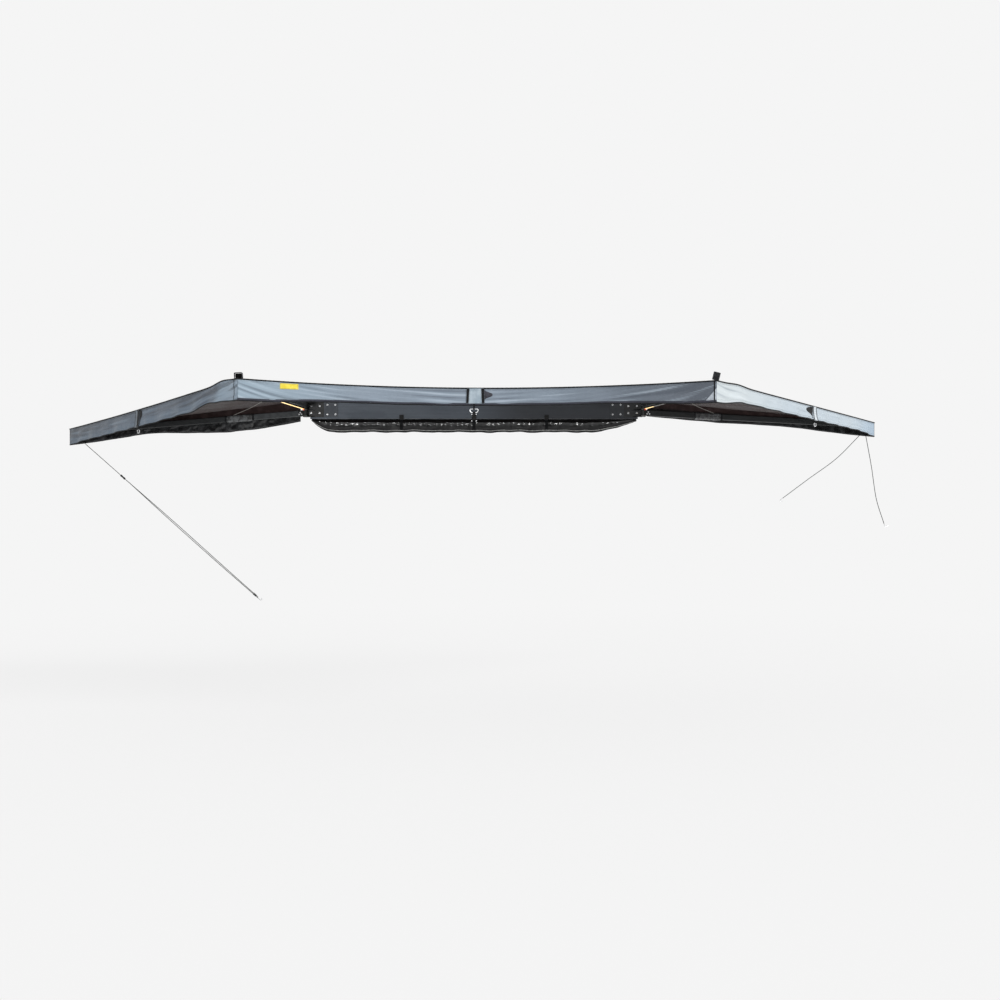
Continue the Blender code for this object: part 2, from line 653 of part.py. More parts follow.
def add_end_cap(kind, end):
    start = ARM_LENGTH + GAP
    outline = rounded_rectangle(ARM_WIDTH, ARM_HEIGHT, ARM_CORNER)
    frame = arm_frame(kind, end) @ ALONG_RAIL
    plate = prism(outline, start, start + CAP_THICKNESS)
    cap = add_solid(end + "_" + kind + "_end_cap", plate, "plastic", frame, HINGE[end, kind])
    inset = ARM_WALL + GAP
    plug = rounded_rectangle(ARM_WIDTH - 2 * inset, ARM_HEIGHT - 2 * inset, PLUG_CORNER, inset, 1)
    add_helper(cap, prism(plug, start - CAP_PLUG_LENGTH, start + CAP_THICKNESS / 2), "UNION")


def add_lamp(end):
    """A channel under the middle arm, open downwards, with its lens in the mouth."""
    frame = arm_frame("mid", end) @ ALONG_RAIL
    half = LAMP_WIDTH / 2
    top, low = -GAP, -GAP - LAMP_HEIGHT
    inside, ceiling = half - LAMP_WALL, top - LAMP_WALL
    channel = [(half, low), (half, top), (-half, top), (-half, low)]
    channel += [(-inside, low), (-inside, ceiling), (inside, ceiling), (inside, low)]
    finish = LAMP_START + LAMP_LENGTH
    add_solid(end + "_lamp_channel", prism(channel, LAMP_START, finish), "plastic", frame, HINGE[end, "mid"])
    lens_half = half - LAMP_WALL - GAP
    lens = rectangle(-lens_half, lens_half, low, low + LENS_THICKNESS)
    add_solid(end + "_lamp_lens", prism(lens, LAMP_START, finish), "lens", frame, HINGE[end, "mid"])


def add_arm_wrap(end):
    """The fabric sleeve that ties the canopy's edge to the side arm."""
    inner_width = ARM_WIDTH + 2 * WRAP_CLEARANCE
    inner_height = ARM_HEIGHT + 2 * WRAP_CLEARANCE
    inner = rounded_rectangle(inner_width, inner_height, ARM_CORNER, -WRAP_CLEARANCE)
    outer_low = -WRAP_CLEARANCE - WRAP_THICKNESS
    outer_width = inner_width + 2 * WRAP_THICKNESS
    outer_height = inner_height + 2 * WRAP_THICKNESS
    outer = rounded_rectangle(outer_width, outer_height, ARM_CORNER + WRAP_THICKNESS, outer_low)
    wrap = hollow_prism(outer, inner, WRAP_START, WRAP_START + WRAP_LENGTH)
    frame = arm_frame("side", end) @ ALONG_RAIL
    add_solid(end + "_arm_wrap", wrap, "webbing", frame, HINGE[end, "side"], smooth=True)


for end in ENDS:
    add_knuckle("mid", end, MID_BARREL_LEVEL, MID_ARM_TOP)
    add_knuckle("side", end, SIDE_ARM_LEVEL, SIDE_ARM_TOP)
    for kind in ("mid", "side"):
        add_arm_tube(kind, end)
        add_end_cap(kind, end)
    add_lamp(end)
    add_arm_wrap(end)


# Canopy panels. Each edge is a curve through two corners and the point where its strap is sewn.


def along(yaw):
    return Vector((math.cos(yaw), math.sin(yaw), 0))


def mid_corner(end):
    point = PIN[end] + along(MID_YAW[end]) * CORNER_REACH
    return Vector((point.x, point.y, MID_CORNER_LEVEL[end]))


def side_corner(end):
    """The corner past the side arm's tip, on the arm's vehicle side."""
    back = along(SIDE_YAW[end] + SIGN[end] * math.pi / 2)
    point = PIN[end] + along(SIDE_YAW[end]) * CORNER_REACH + back * FLAP_OFFSET
    return Vector((point.x, point.y, SIDE_CORNER_LEVEL[end]))


def fan_middle(end):
    side_yaw = SIDE_YAW[end] + (2 * math.pi if end == "front" else 0)
    point = PIN[end] + along((MID_YAW[end] + side_yaw) / 2) * FAN_REACH[end]
    return Vector((point.x, point.y, FAN_LEVEL[end]))


def curve_through(start, middle, finish):
    """A smooth curve from start to finish that is at middle halfway, as a function of 0 to 1."""
    control = 2 * middle - (start + finish) / 2
    return lambda t: start * (1 - t) ** 2 + control * (2 * t * (1 - t)) + finish * t**2


def edge_outward(edge, t):
    """The level direction out of the canopy, square to its edge."""
    step = edge(min(1, t + 0.01)) - edge(max(0, t - 0.01))
    return Vector((step.y, -step.x, 0)).normalized()


def fade(distance, length=FOLD_FADE):
    share = max(0.0, min(1.0, distance / length))
    return share * share * (3 - 2 * share)


def skirt_height(where, t, width):
    """The skirt is deepest at its corners, and tapers to its middle height from each of them."""
    at_start = SKIRT_TIP_HEIGHT["rear"] if where == "rear" else SKIRT_CORNER_HEIGHT
    at_finish = SKIRT_TIP_HEIGHT["front"] if where == "front" else SKIRT_CORNER_HEIGHT
    corner = at_start if t < 0.5 else at_finish
    middle = SKIRT_MIDDLE_HEIGHT[where]
    return corner + (middle - corner) * fade(min(t, 1 - t) * width, SKIRT_TAPER)


def skirt_rows(where, edge, t_values, width):
    """The rows of the hanging skirt under its edge, with soft upright folds that die out at the seams."""
    rows = []
    for depth in (0.33, 0.67, 1.0):
        row = []
        for t in t_values:
            seam = min(t, 1 - t) * width
            from_strap = abs(t - 0.5) * width - STRAP_HALF_WIDTH[where] - STRAP_CALM
            calm = fade(seam) * fade(from_strap)
            fold = math.sin(2 * math.pi * t * width / FOLD_LENGTH + FOLD_SHIFT[where])
            point = edge(t) + edge_outward(edge, t) * (FOLD_DEPTH * depth * calm * fold)
            point.z -= skirt_height(where, t, width) * depth
            row.append(point)
        rows.append(row)
    return rows


def shifted_ends(row, low_normal, high_normal):
    """Draws a row's two ends in from the seams by the sewing gap."""
    row[0] = row[0] + low_normal * SEAM_GAP
    row[-1] = row[-1] - high_normal * SEAM_GAP
    return row


def add_panel(name, parent, where, inner_edge, edge, t_low, columns, first_rows=(), start_share=0.0):
    """A canopy panel between its inner edge, at the rail or the hub, and half of its outer edge."""
    t_high = t_low + 0.5
    t_values = [t_low + 0.5 * k / columns for k in range(columns + 1)]
    width = sum((edge((k + 1) / 20) - edge(k / 20)).length for k in range(20))
    rows = [[row_point(t) for t in t_values] for row_point in first_rows]
    steps = 5
    for k in range(steps + 1):
        share = start_share + (1 - start_share) * k / steps
        row = []
        for t in t_values:
            point = inner_edge(t).lerp(edge(t), share)
            point.z -= CANOPY_SAG * math.sin(math.pi * share) * math.sin(math.pi * t)
            row.append(point)
        rows.append(row)
    rows += skirt_rows(where, edge, t_values, width)
    low_line = edge(t_low) - inner_edge(t_low)
    high_line = edge(t_high) - inner_edge(t_high)
    low_normal = Vector((-low_line.y, low_line.x, 0)).normalized()
    high_normal = Vector((-high_line.y, high_line.x, 0)).normalized()
    rows = [shifted_ends(row, low_normal, high_normal) for row in rows]
    return add_cloth(name, rows, "canopy", parent)


def rail_edge(t):
    return APEX["rear"].lerp(APEX["front"], t)


def add_centre_panels():
    """The middle canopy in two halves, one for each middle arm, hung from a bead in the rail's groove."""
    middle = (mid_corner("rear") + mid_corner("front")) / 2
    middle = Vector((0, middle.y + CENTRE_INSET, CENTRE_LEVEL))
    edge = curve_through(mid_corner("rear"), middle, mid_corner("front"))
    for end, low in (("rear", 0.0), ("front", 0.5)):

        def in_groove(t):
            return Vector((rail_edge(t).x, BEAD_Y - CLOTH / 2, BEAD_LEVEL))

        panel = add_panel(end + "_centre_canopy", None, "centre", rail_edge, edge, low, 22, (in_groove,))
        x_low, x_high = rail_edge(low).x + SEAM_GAP, rail_edge(low + 0.5).x - SEAM_GAP
        bead = prism(circle(BEAD_Y, BEAD_LEVEL, BEAD_RADIUS, 10), x_low, x_high)
        add_helper(panel, bead, "UNION", ALONG_RAIL)
    return edge


def add_fan_panels(end):
    """The fan round one end in two panels with the seam where it folds, the inner one by the middle arm."""
    corners = [side_corner(end), mid_corner(end)]
    if end == "front":
        corners.reverse()
    edge = curve_through(corners[0], fan_middle(end), corners[1])
    inner_low = 0.5 if end == "rear" else 0.0
    stretches = (("inner", "mid", inner_low), ("outer", "side", 0.5 - inner_low))
    for which, kind, low in stretches:
        name = end + "_" + which + "_canopy"
        add_panel(name, HINGE[end, kind], end, lambda t: APEX[end], edge, low, 18, start_share=FAN_START)
    return edge


def flap_point(end, share, depth):
    """A point on the flap that hangs behind the side arm. share runs from the rail's end to the arm's tip."""
    line = side_corner(end) - APEX[end]
    back = Vector((line.y, -line.x, 0)).normalized() * -SIGN[end]
    point = APEX[end] + line * share + back * SEAM_GAP
    calm = fade((1 - share) * CORNER_REACH, FLAP_FOLD_FADE) * fade(share * CORNER_REACH, FLAP_FOLD_FADE)
    fold = math.sin(2 * math.pi * share * CORNER_REACH / FOLD_LENGTH)
    point += back * (FLAP_FOLD_DEPTH * depth * calm * fold)
    from_swell = min(1.0, abs(share - FLAP_SWELL_PLACE[end]) / FLAP_SWELL_REACH[end])
    swell = FLAP_SWELL[end] * (0.5 + 0.5 * math.cos(math.pi * from_swell))
    point.z -= (FLAP_HEIGHT[end] + swell) * depth
    return point


def add_flap(end):
    shares = [FLAP_START + (1 - FLAP_START) * k / 24 for k in range(25)]
    if end == "front":
        shares.reverse()
    rows = [[flap_point(end, share, depth) for share in shares] for depth in (0.0, 0.33, 0.67, 1.0)]
    add_cloth(end + "_edge_flap", rows, "canopy", HINGE[end, "side"])


EDGES = {"centre": add_centre_panels()}
for end in ENDS:
    EDGES[end] = add_fan_panels(end)
    add_flap(end)


# Straps, rings and the centre hook at the middle of each edge


def strap_frame(where):
    """At the middle of an edge: x along the edge, y out of the canopy, z up."""
    edge = EDGES[where]
    outward = edge_outward(edge, 0.5)
    across = outward.cross(Vector((0, 0, 1)))
    turn = Matrix((across, outward, Vector((0, 0, 1)))).transposed().to_4x4()
    return Matrix.Translation(edge(0.5)) @ turn


def band(path, thickness):
    """The outline of a strip of this thickness along a flat path."""
    left, right = [], []
    for k, point in enumerate(path):
        before, after = path[max(0, k - 1)], path[min(len(path) - 1, k + 1)]
        step = (Vector(after) - Vector(before)).normalized()
        side = Vector((-step.y, step.x)) * thickness / 2
        left.append(tuple(Vector(point) + side))
        right.append(tuple(Vector(point) - side))
    return right + left[::-1]


def add_strap(where, parent):
    """The sewn panel on the skirt, with webbing below it that loops round the ring's bar."""
    frame = world_to(parent) @ strap_frame(where)
    half = STRAP_HALF_WIDTH[where]
    face = CLOTH + STRAP_GAP
    hem = -SKIRT_MIDDLE_HEIGHT[where]
    panel = rectangle(-half, half, hem - STRAP_BELOW_HEM, -STRAP_BELOW_EDGE)
    upright = Matrix(((1, 0, 0, 0), (0, 0, -1, face + WEBBING), (0, 1, 0, 0), (0, 0, 0, 1)))
    strap = add_solid(where + "_strap", prism(panel, 0, WEBBING), "strap", frame @ upright, parent)
    loop_radius = RING_WIRE + 0.0004 + WEBBING / 2
    bar_level = hem - STRAP_DROP
    front = face + WEBBING / 2
    path = [(front, hem + 0.01), (front, bar_level)]
    for k in range(1, 7):
        angle = -math.pi * k / 6
        inward, upward = math.cos(angle) - 1, math.sin(angle)
        path.append((front + loop_radius * inward, bar_level + loop_radius * upward))
    path.append((front - 2 * loop_radius, bar_level + 0.008))
    webbing = prism(band(path, WEBBING), -WEBBING_WIDTH / 2, WEBBING_WIDTH / 2)
    add_helper(strap, webbing, "UNION", upright.inverted() @ ALONG_RAIL)
    return frame @ Matrix.Translation((0, front - loop_radius, bar_level))


def add_ring(where, bar_frame, parent):
    """A D-shaped wire ring whose top bar lies in the webbing."""
    half, height = RING_HALF_WIDTH, RING_HEIGHT
    bar_half, waist_half, foot_half = half - 0.0035, half - 0.0015, half - 0.0085
    shoulder, waist = -height / 5, -0.6 * height
    outline = [(-bar_half, 0), (bar_half, 0), (half, shoulder), (waist_half, waist)]
    outline += [(foot_half, -height), (-foot_half, -height), (-waist_half, waist), (-half, shoulder)]
    to_points = bar_frame if parent is None else HINGE_FRAME[parent.name] @ bar_frame
    points = [to_points @ Vector((x, 0, z)) for x, z in outline]
    add_tube(where + "_ring", points, RING_WIRE, "steel", parent, cyclic=True, resolution=1)


def add_centre_hook(bar_frame):
    """A flat X-shaped hook that hangs by its eye from the ring's lower bar."""
    half, top, low = HOOK_WIDTH / 2, -HOOK_EYE_RADIUS, -HOOK_EYE_RADIUS - HOOK_HEIGHT
    middle, arm, waist = (top + low) / 2, HOOK_ARM, HOOK_WAIST
    shoulder = top - HOOK_SHOULDER
    inner = half - arm
    outline = [(-half, top), (-half, shoulder), (-waist, middle), (-half, low), (-inner, low)]
    outline += [(0, middle - arm), (inner, low), (half, low), (waist, middle), (half, shoulder)]
    outline += [(half, top), (inner, top), (0, middle + arm), (-inner, top)]
    frame = bar_frame @ Matrix.Translation((0, 0, -RING_HEIGHT))
    upright = Matrix(((1, 0, 0, 0), (0, 0, -1, HOOK_THICKNESS / 2), (0, 1, 0, 0), (0, 0, 0, 1)))
    hook = add_solid("centre_hook", prism(outline, 0, HOOK_THICKNESS), "plastic", frame @ upright)
    to_frame = upright.inverted()
    eye = cylinder(HOOK_EYE_RADIUS, -HOOK_EYE_LENGTH / 2, HOOK_EYE_LENGTH / 2, 12)
    add_helper(hook, eye, "UNION", to_frame @ Matrix.Rotation(math.pi / 2, 4, "Y"))
    neck_outline = rectangle(-waist, waist, middle, -HOOK_SHOULDER)
    neck = prism(neck_outline, NECK_INSET, HOOK_THICKNESS - NECK_INSET)
    add_helper(hook, neck, "UNION")
    stud_inset = HOOK_STUD_INSET
    for x in (-half + stud_inset, half - stud_inset):
        for z in (top - stud_inset + 0.001, low + stud_inset):
            stud = cylinder(HOOK_STUD_RADIUS, -0.001, HOOK_THICKNESS + 0.001, 8)
            add_helper(hook, stud, "UNION", Matrix.Translation((x, z, 0)))
    bore = cylinder(RING_WIRE + 0.0005, -HOOK_EYE_LENGTH, HOOK_EYE_LENGTH, 12)
    add_helper(hook, bore, "DIFFERENCE", to_frame @ Matrix.Rotation(math.pi / 2, 4, "Y"))


for where, parent in (("centre", None), ("rear", HINGE["rear", "mid"]), ("front", HINGE["front", "mid"])):
    ring_bar = add_strap(where, parent)
    add_ring(where, ring_bar, parent)
    if where == "centre":
        add_centre_hook(ring_bar)


# Pull loops, cover bag and buckles


def add_pull_loop(end, length, thickness, base, loop_axis, opening_axis):
    """A closed loop of webbing on the canopy's corner.

    Its long side lies along loop_axis and starts at base, counted from the ridge.
    """
    corner = min(PULL_CORNER, thickness / 2 - 0.0001)
    outer = rounded_rectangle(thickness, length, corner, base, 4)
    inner_thickness = thickness - 2 * PULL_WALL
    inner_length = length - 2 * PULL_WALL
    inner = rounded_rectangle(inner_thickness, inner_length, corner - PULL_WALL, base + PULL_WALL, 4)
    shape = hollow_prism(outer, inner, -PULL_WIDTH / 2, PULL_WIDTH / 2)
    loop_axis, opening_axis = loop_axis.normalized(), opening_axis.normalized()
    thickness_axis = loop_axis.cross(opening_axis)
    turn = Matrix((thickness_axis, loop_axis, opening_axis)).transposed().to_4x4()
    low = min((turn @ vertex.co).z for vertex in shape.verts)
    share = PULL_REACH / CORNER_REACH
    level = APEX_LEVEL + (MID_CORNER_LEVEL[end] - APEX_LEVEL) * share + CLOTH - PULL_SETTLE[end]
    point = PIN[end] + along(MID_YAW[end]) * PULL_REACH
    spot = Matrix.Translation((point.x, point.y, level - low))
    parent = HINGE[end, "mid"]
    add_solid(end + "_pull_loop", shape, "webbing", world_to(parent) @ spot @ turn, parent)


def bag_half_depth(share):
    """Half the bag's depth from front to back at a share of its height, 0 at the top."""
    belly = math.sin(math.pi * min(1.0, share) ** 1.2) ** 0.7
    return BAG_TOP_HALF_DEPTH + 0.56 * BAG_HALF_DEPTH * belly


def add_cover_bag():
    """The slack PVC cover that hangs from the rail's foot, with slanted ends and soft lumps."""
    stations, around = 44, 14
    shape = bmesh.new()
    rings = []
    for k in range(stations + 1):
        x = -BAG_LENGTH / 2 + BAG_LENGTH * k / stations
        from_end = BAG_LENGTH / 2 - abs(x)
        taper = BAG_TAPER["rear" if x < 0 else "front"]
        drop = BAG_END_DROP + (BAG_DROP - BAG_END_DROP) * fade(from_end + 0.01, taper) ** 0.6
        for height, pace in BAG_WAVES:
            drop += height * math.sin(pace * x)
        ring = []
        for i in range(around):
            angle = 2 * math.pi * (i + 0.5) / around
            share = 0.5 - 0.5 * math.cos(angle)
            side = 1 if math.sin(angle) > 0 else -1
            lump = 1 + BAG_LUMP * math.sin(31 * x + 5 * share) * math.sin(math.pi * share)
            reach = bag_half_depth(share) * abs(math.sin(angle)) ** 0.4 * lump
            y = RAIL_FRONT_Y + BAG_SETBACK - side * reach
            ring.append(shape.verts.new((x, y, -BAG_CLEARANCE - drop * share)))
        rings.append(ring)
    for ring, following in zip(rings, rings[1:]):
        for i in range(around):
            j = (i + 1) % around
            shape.faces.new((ring[i], ring[j], following[j], following[i]))
    shape.faces.new(rings[0])
    shape.faces.new(rings[-1])
    add_solid("cover_bag", shape, "bag", smooth=True)


def add_bag_buckle(name, x):
    front = RAIL_FRONT_Y - LIP_REACH - GAP
    outline = rounded_rectangle(BUCKLE_WIDTH, BUCKLE_HIGH - BUCKLE_LOW, 0.004, BUCKLE_LOW, 2)
    upright = Matrix(((1, 0, 0, x), (0, 0, -1, front), (0, 1, 0, 0), (0, 0, 0, 1)))
    buckle = add_solid(name, prism(outline, 0, BUCKLE_THICKNESS), "plastic", upright)
    slot_half = BUCKLE_WIDTH / 2 - BUCKLE_SLOT_INSET
    slot = rectangle(-slot_half, slot_half, BUCKLE_SLOT_LOW, BUCKLE_SLOT_HIGH)
    cut = prism(slot, BUCKLE_THICKNESS - BUCKLE_SLOT_DEPTH, BUCKLE_THICKNESS + 0.01)
    add_helper(buckle, cut, "DIFFERENCE")


lying, leaning = Vector((1, 0, 0.06)), Vector((0.24, 0, 0.97))
add_pull_loop("rear", LYING_LOOP, LYING_LOOP_HEIGHT, -LYING_LOOP / 2, lying, Vector((0, -1, 0)))
add_pull_loop("front", LEANING_LOOP, LEANING_LOOP_DEPTH, 0, leaning, Vector((0.97, 0, -0.24)))
add_cover_bag()
for name, place_along in (("rear", -BUCKLE_SPACING), ("centre", 0), ("front", BUCKLE_SPACING)):
    add_bag_buckle("bag_buckle_" + name, place_along)


# Cords: spreaders under the fans, and guy ropes with their runner and hooks


def smooth_route(points, spacing):
    """Points at an even spacing along a smooth curve through the route's own points."""
    places = [Vector(p) for p in points]
    whole = [2 * places[0] - places[1]] + places + [2 * places[-1] - places[-2]]
    fine = []
    for k in range(1, len(whole) - 2):
        a, b, c, d = whole[k - 1 : k + 3]
        steps = max(2, round((c - b).length / spacing))
        for i in range(steps):
            t = i / steps
            bend = 2 * b + (c - a) * t + (2 * a - 5 * b + 4 * c - d) * t**2 + (3 * b - a - 3 * c + d) * t**3
            fine.append(bend / 2)
    fine.append(places[-1])
    return fine


def add_rope_hook(name, point, direction, parent):
    """A bent wire hook in line with the rope, with its bend at the far end."""
    down = direction.normalized()
    side = down.cross(Vector((0, 1, 0))).normalized()
    shank_end = point + down * ROPE_HOOK_SHANK
    route = [point + down * (GAP + 0.0002), shank_end]
    for k in range(1, 8):
        angle = math.radians(200) * k / 7
        onward, sideways = math.sin(angle), 1 - math.cos(angle)
        route.append(shank_end + (down * onward + side * sideways) * ROPE_HOOK_BEND)
    add_tube(name, route, ROPE_FITTING_WIRE, "steel", parent, resolution=1)


def add_guy_rope(name, end, share, route):
    """A rope tied at the flap's hem above the arm's tip, and its hook."""
    parent = HINGE[end, "side"]
    hem = flap_point(end, share, 1.0)
    level_share = (Vector(route[0]) - hem).normalized().xy.length
    start = hem - Vector((0, 0, GAP + 0.0002 + ROPE_RADIUS * level_share))
    points = smooth_route([start] + route, 0.12)
    add_tube(name, points, ROPE_RADIUS, "rope", parent)
    add_rope_hook(name + "_hook", points[-1], points[-1] - points[-2], parent)
    return points


def add_rope_runner(name, points, parent):
    """A turned slider on the rope, which sets its length."""
    start, finish = points[0], points[-1]
    middle = start.lerp(finish, RUNNER_SHARE)
    nearest = min(range(1, len(points)), key=lambda k: ((points[k] + points[k - 1]) / 2 - middle).length)
    centre = (points[nearest] + points[nearest - 1]) / 2
    direction = points[nearest] - points[nearest - 1]
    bore = ROPE_RADIUS + 2 * GAP
    half = RUNNER_LENGTH / 2
    rim, flange = RUNNER_RADIUS - 0.002, half - 0.006
    profile = [(bore, -half), (rim, -half), (RUNNER_RADIUS, -flange), (RUNNER_WAIST, 0)]
    profile += [(RUNNER_RADIUS, flange), (rim, half), (bore, half)]
    turn = direction.to_track_quat("Z", "X").to_matrix().to_4x4()
    matrix = world_to(parent) @ Matrix.Translation(centre) @ turn
    add_solid(name, turned(profile, 12), "plastic", matrix, parent, smooth=True)


REAR_ROPE = [(-2.60, 0.834, -0.424), (-2.28, 0.832, -0.716), (-1.94, 0.831, -1.02), (-1.624, 0.83, -1.2967)]
FORE_ROPE = [(2.72, 0.82, -0.250), (2.51, 0.81, -0.402), (2.316, 0.80, -0.545)]
TAIL_ROPE = [(2.985, 0.82, -0.31), (3.005, 0.76, -0.55), (3.046, 0.70, -0.736)]
# How far out along the middle arm and along the side arm each spreader cord is tied
SPREADER_REACH = {"mid": 1.15, "side": 0.6}

rear_points = add_guy_rope("rear_guy_rope", "rear", 0.9317, REAR_ROPE)
add_rope_runner("rear_rope_runner", rear_points, HINGE["rear", "side"])
add_guy_rope("front_guy_rope_inner", "front", 0.932, FORE_ROPE)
add_guy_rope("front_guy_rope_outer", "front", 0.962, TAIL_ROPE)
for end in ENDS:
    mid_world = HINGE_FRAME[end + "_mid_hinge"] @ arm_frame("mid", end)
    side_world = HINGE_FRAME[end + "_side_hinge"] @ arm_frame("side", end)
    inner = -SIGN[end]
    beside = ARM_WIDTH / 2 + SPREADER_RADIUS + GAP
    above = ARM_HEIGHT + SPREADER_RADIUS + 0.0025
    mid_end = mid_world @ Vector((SPREADER_REACH["mid"], -inner * beside, 0.004))
    side_end = side_world @ Vector((SPREADER_REACH["side"], inner * 0.01, above))
    sagging = mid_end.lerp(side_end, 0.5) - Vector((0, 0, SPREADER_SAG))
    cord_points = smooth_route([mid_end, sagging, side_end], 0.12)
    add_tube(end + "_spreader_cord", cord_points, SPREADER_RADIUS, "cord", HINGE[end, "side"])
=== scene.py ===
import math

import bmesh
import bpy
from mathutils import Matrix, Vector, noise


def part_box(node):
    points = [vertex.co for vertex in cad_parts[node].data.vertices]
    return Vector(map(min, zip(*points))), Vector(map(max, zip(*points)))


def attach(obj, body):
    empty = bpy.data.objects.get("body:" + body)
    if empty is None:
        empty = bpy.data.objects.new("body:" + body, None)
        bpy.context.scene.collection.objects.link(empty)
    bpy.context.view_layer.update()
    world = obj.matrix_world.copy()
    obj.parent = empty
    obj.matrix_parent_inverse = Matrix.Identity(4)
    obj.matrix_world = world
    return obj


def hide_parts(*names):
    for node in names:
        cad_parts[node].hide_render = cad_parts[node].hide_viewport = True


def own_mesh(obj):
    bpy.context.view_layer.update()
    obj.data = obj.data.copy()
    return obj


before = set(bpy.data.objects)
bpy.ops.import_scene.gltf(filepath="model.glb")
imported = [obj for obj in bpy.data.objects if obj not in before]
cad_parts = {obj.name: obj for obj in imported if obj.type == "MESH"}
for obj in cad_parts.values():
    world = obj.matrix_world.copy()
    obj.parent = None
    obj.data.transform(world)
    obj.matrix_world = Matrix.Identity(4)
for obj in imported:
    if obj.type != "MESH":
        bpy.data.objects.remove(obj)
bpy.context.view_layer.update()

# Camera, level and 10.25 m in front of the rail, about half a metre below it, as someone standing on the
# ground sees the open awning.
scene = bpy.context.scene
scene.view_settings.view_transform = "Standard"
camera_data = bpy.data.cameras.new("camera")
camera_data.lens = 53.06
camera_data.shift_x = 0.026
camera = bpy.data.objects.new("camera", camera_data)
camera.location = (0, -10.2503, -0.56)
camera.rotation_euler = (math.radians(90), 0, 0)
scene.collection.objects.link(camera)
scene.camera = camera


# Guy ropes, braided polyester of 5 mm with a pale tracer yarn. Each is tied to the hem of an edge flap near
# the side arm's tip and runs down to a bent wire hook. The rear one has a slider that sets its length.
SIGN = {"rear": -1, "front": 1}
ROPE_RADIUS = 0.0025
ROPE_STEP = 0.0035
BRAID_LAY = 0.014
ROPE_ROUTES = {
    "rear_guy_rope": (
        (-2.92498, 0.83543, -0.13624), (-2.60, 0.834, -0.424), (-2.28, 0.832, -0.716), (-1.94, 0.831, -1.02),
        (-1.624, 0.83, -1.2967),
    ),
    "front_guy_rope_inner": (
        (2.90027, 0.84441, -0.07574), (2.72, 0.82, -0.250), (2.51, 0.81, -0.402), (2.316, 0.80, -0.545),
    ),
    "front_guy_rope_outer": (
        (2.95747, 0.8738, -0.07777), (2.985, 0.82, -0.31), (3.005, 0.76, -0.55), (3.046, 0.70, -0.736),
    ),
}
PIN = {"rear": Vector((-1.16, -0.1103, 0)), "front": Vector((1.16, -0.1503, 0))}
YAW = {
    ("rear", "mid"): math.radians(266.7),
    ("front", "mid"): math.radians(274.0),
    ("rear", "side"): math.radians(152.5),
    ("front", "side"): math.radians(29.0),
}


class Wire:
    """A value in a node tree. Sums and products of such values add the Math nodes that they need."""

    def __init__(self, tree, socket=None):
        self.tree = tree
        self.socket = socket

    def node(self, kind, settings=None, sockets=None, output=0):
        """Adds a node of this type: its settings are set first, then the values or links of its sockets."""
        made = self.tree.nodes.new(kind)
        for name, value in (settings or {}).items():
            setattr(made, name, value)
        for name, value in (sockets or {}).items():
            if isinstance(value, Wire):
                self.tree.links.new(value.socket, made.inputs[name])
            else:
                made.inputs[name].default_value = value
        return Wire(self.tree, made.outputs[output] if made.outputs else None)

    def maths(self, operation, first, second=0.0):
        return self.node("ShaderNodeMath", {"operation": operation}, {0: first, 1: second})

    def __add__(self, other):
        return self.maths("ADD", self, other)

    def __sub__(self, other):
        return self.maths("SUBTRACT", self, other)

    def __rsub__(self, other):
        return self.maths("SUBTRACT", other, self)

    def __mul__(self, other):
        return self.maths("MULTIPLY", self, other)

    __radd__ = __add__
    __rmul__ = __mul__

    def sine(self):
        return self.maths("SINE", self)

    def ramp(self, low, high, start=0.0, finish=1.0):
        """Goes smoothly from start to finish as this value goes from low to high."""
        sockets = {"Value": self, "From Min": low, "From Max": high, "To Min": start, "To Max": finish}
        return self.node("ShaderNodeMapRange", {"interpolation_type": "SMOOTHSTEP"}, sockets)

    def blend(self, colour, other):
        """Mixes two colours with this value as the other's share."""
        return self.node("ShaderNodeMix", {"data_type": "RGBA"}, {0: self, 6: colour, 7: other}, 2)

    def place(self, kind="Object", scale=(1, 1, 1), turn=0.0):
        """The surface's own coordinates, stretched and turned about Z."""
        where = self.node("ShaderNodeTexCoord", output=kind)
        return self.node("ShaderNodeMapping", None, {"Vector": where, "Scale": scale, "Rotation": (0, 0, turn)})

    def speckle(self, where, scale, detail=2.0):
        return self.node("ShaderNodeTexNoise", None, {"Vector": where, "Scale": scale, "Detail": detail})

    def axis(self, index, kind="Object"):
        """One of the surface's own coordinates: 0 is x and 1 is y."""
        return self.node("ShaderNodeSeparateXYZ", None, {"Vector": self.place(kind)}, index)

    def threads(self, index, pitch):
        """Fine waves across the cloth's own map, one for each thread."""
        return (self.axis(index, "UV") * (2 * math.pi / pitch)).sine()

    def tag(self, name):
        """A value that the mesh holds at each of its points."""
        return self.node("ShaderNodeAttribute", {"attribute_name": name}, output="Fac")

    def distance_from(self, point):
        sockets = {0: self.place(), 1: point}
        return self.node("ShaderNodeVectorMath", {"operation": "DISTANCE"}, sockets, "Value")


def paint(red, green, blue):
    """A colour as it is seen on a screen, 0 to 255, in the renderer's own scale."""
    parts = [c / 255 for c in (red, green, blue)]
    return (*[c / 12.92 if c <= 0.04045 else ((c + 0.055) / 1.055) ** 2.4 for c in parts], 1.0)


def new_material(name):
    material = bpy.data.materials.new(name)
    material.use_nodes = True
    material.node_tree.nodes.clear()
    return material, Wire(material.node_tree)


def finish_material(wire, colour, roughness, relief=None, depth=0.0004, **more):
    """Ends a material in its shader. More sockets are named with _ for a space."""
    sockets = {"Base Color": colour, "Roughness": roughness}
    sockets.update({name.replace("_", " "): value for name, value in more.items()})
    if relief is not None:
        sockets["Normal"] = wire.node("ShaderNodeBump", None, {"Height": relief, "Distance": depth})
    shader = wire.node("ShaderNodeBsdfPrincipled", None, sockets)
    wire.node("ShaderNodeOutputMaterial", None, {"Surface": shader})


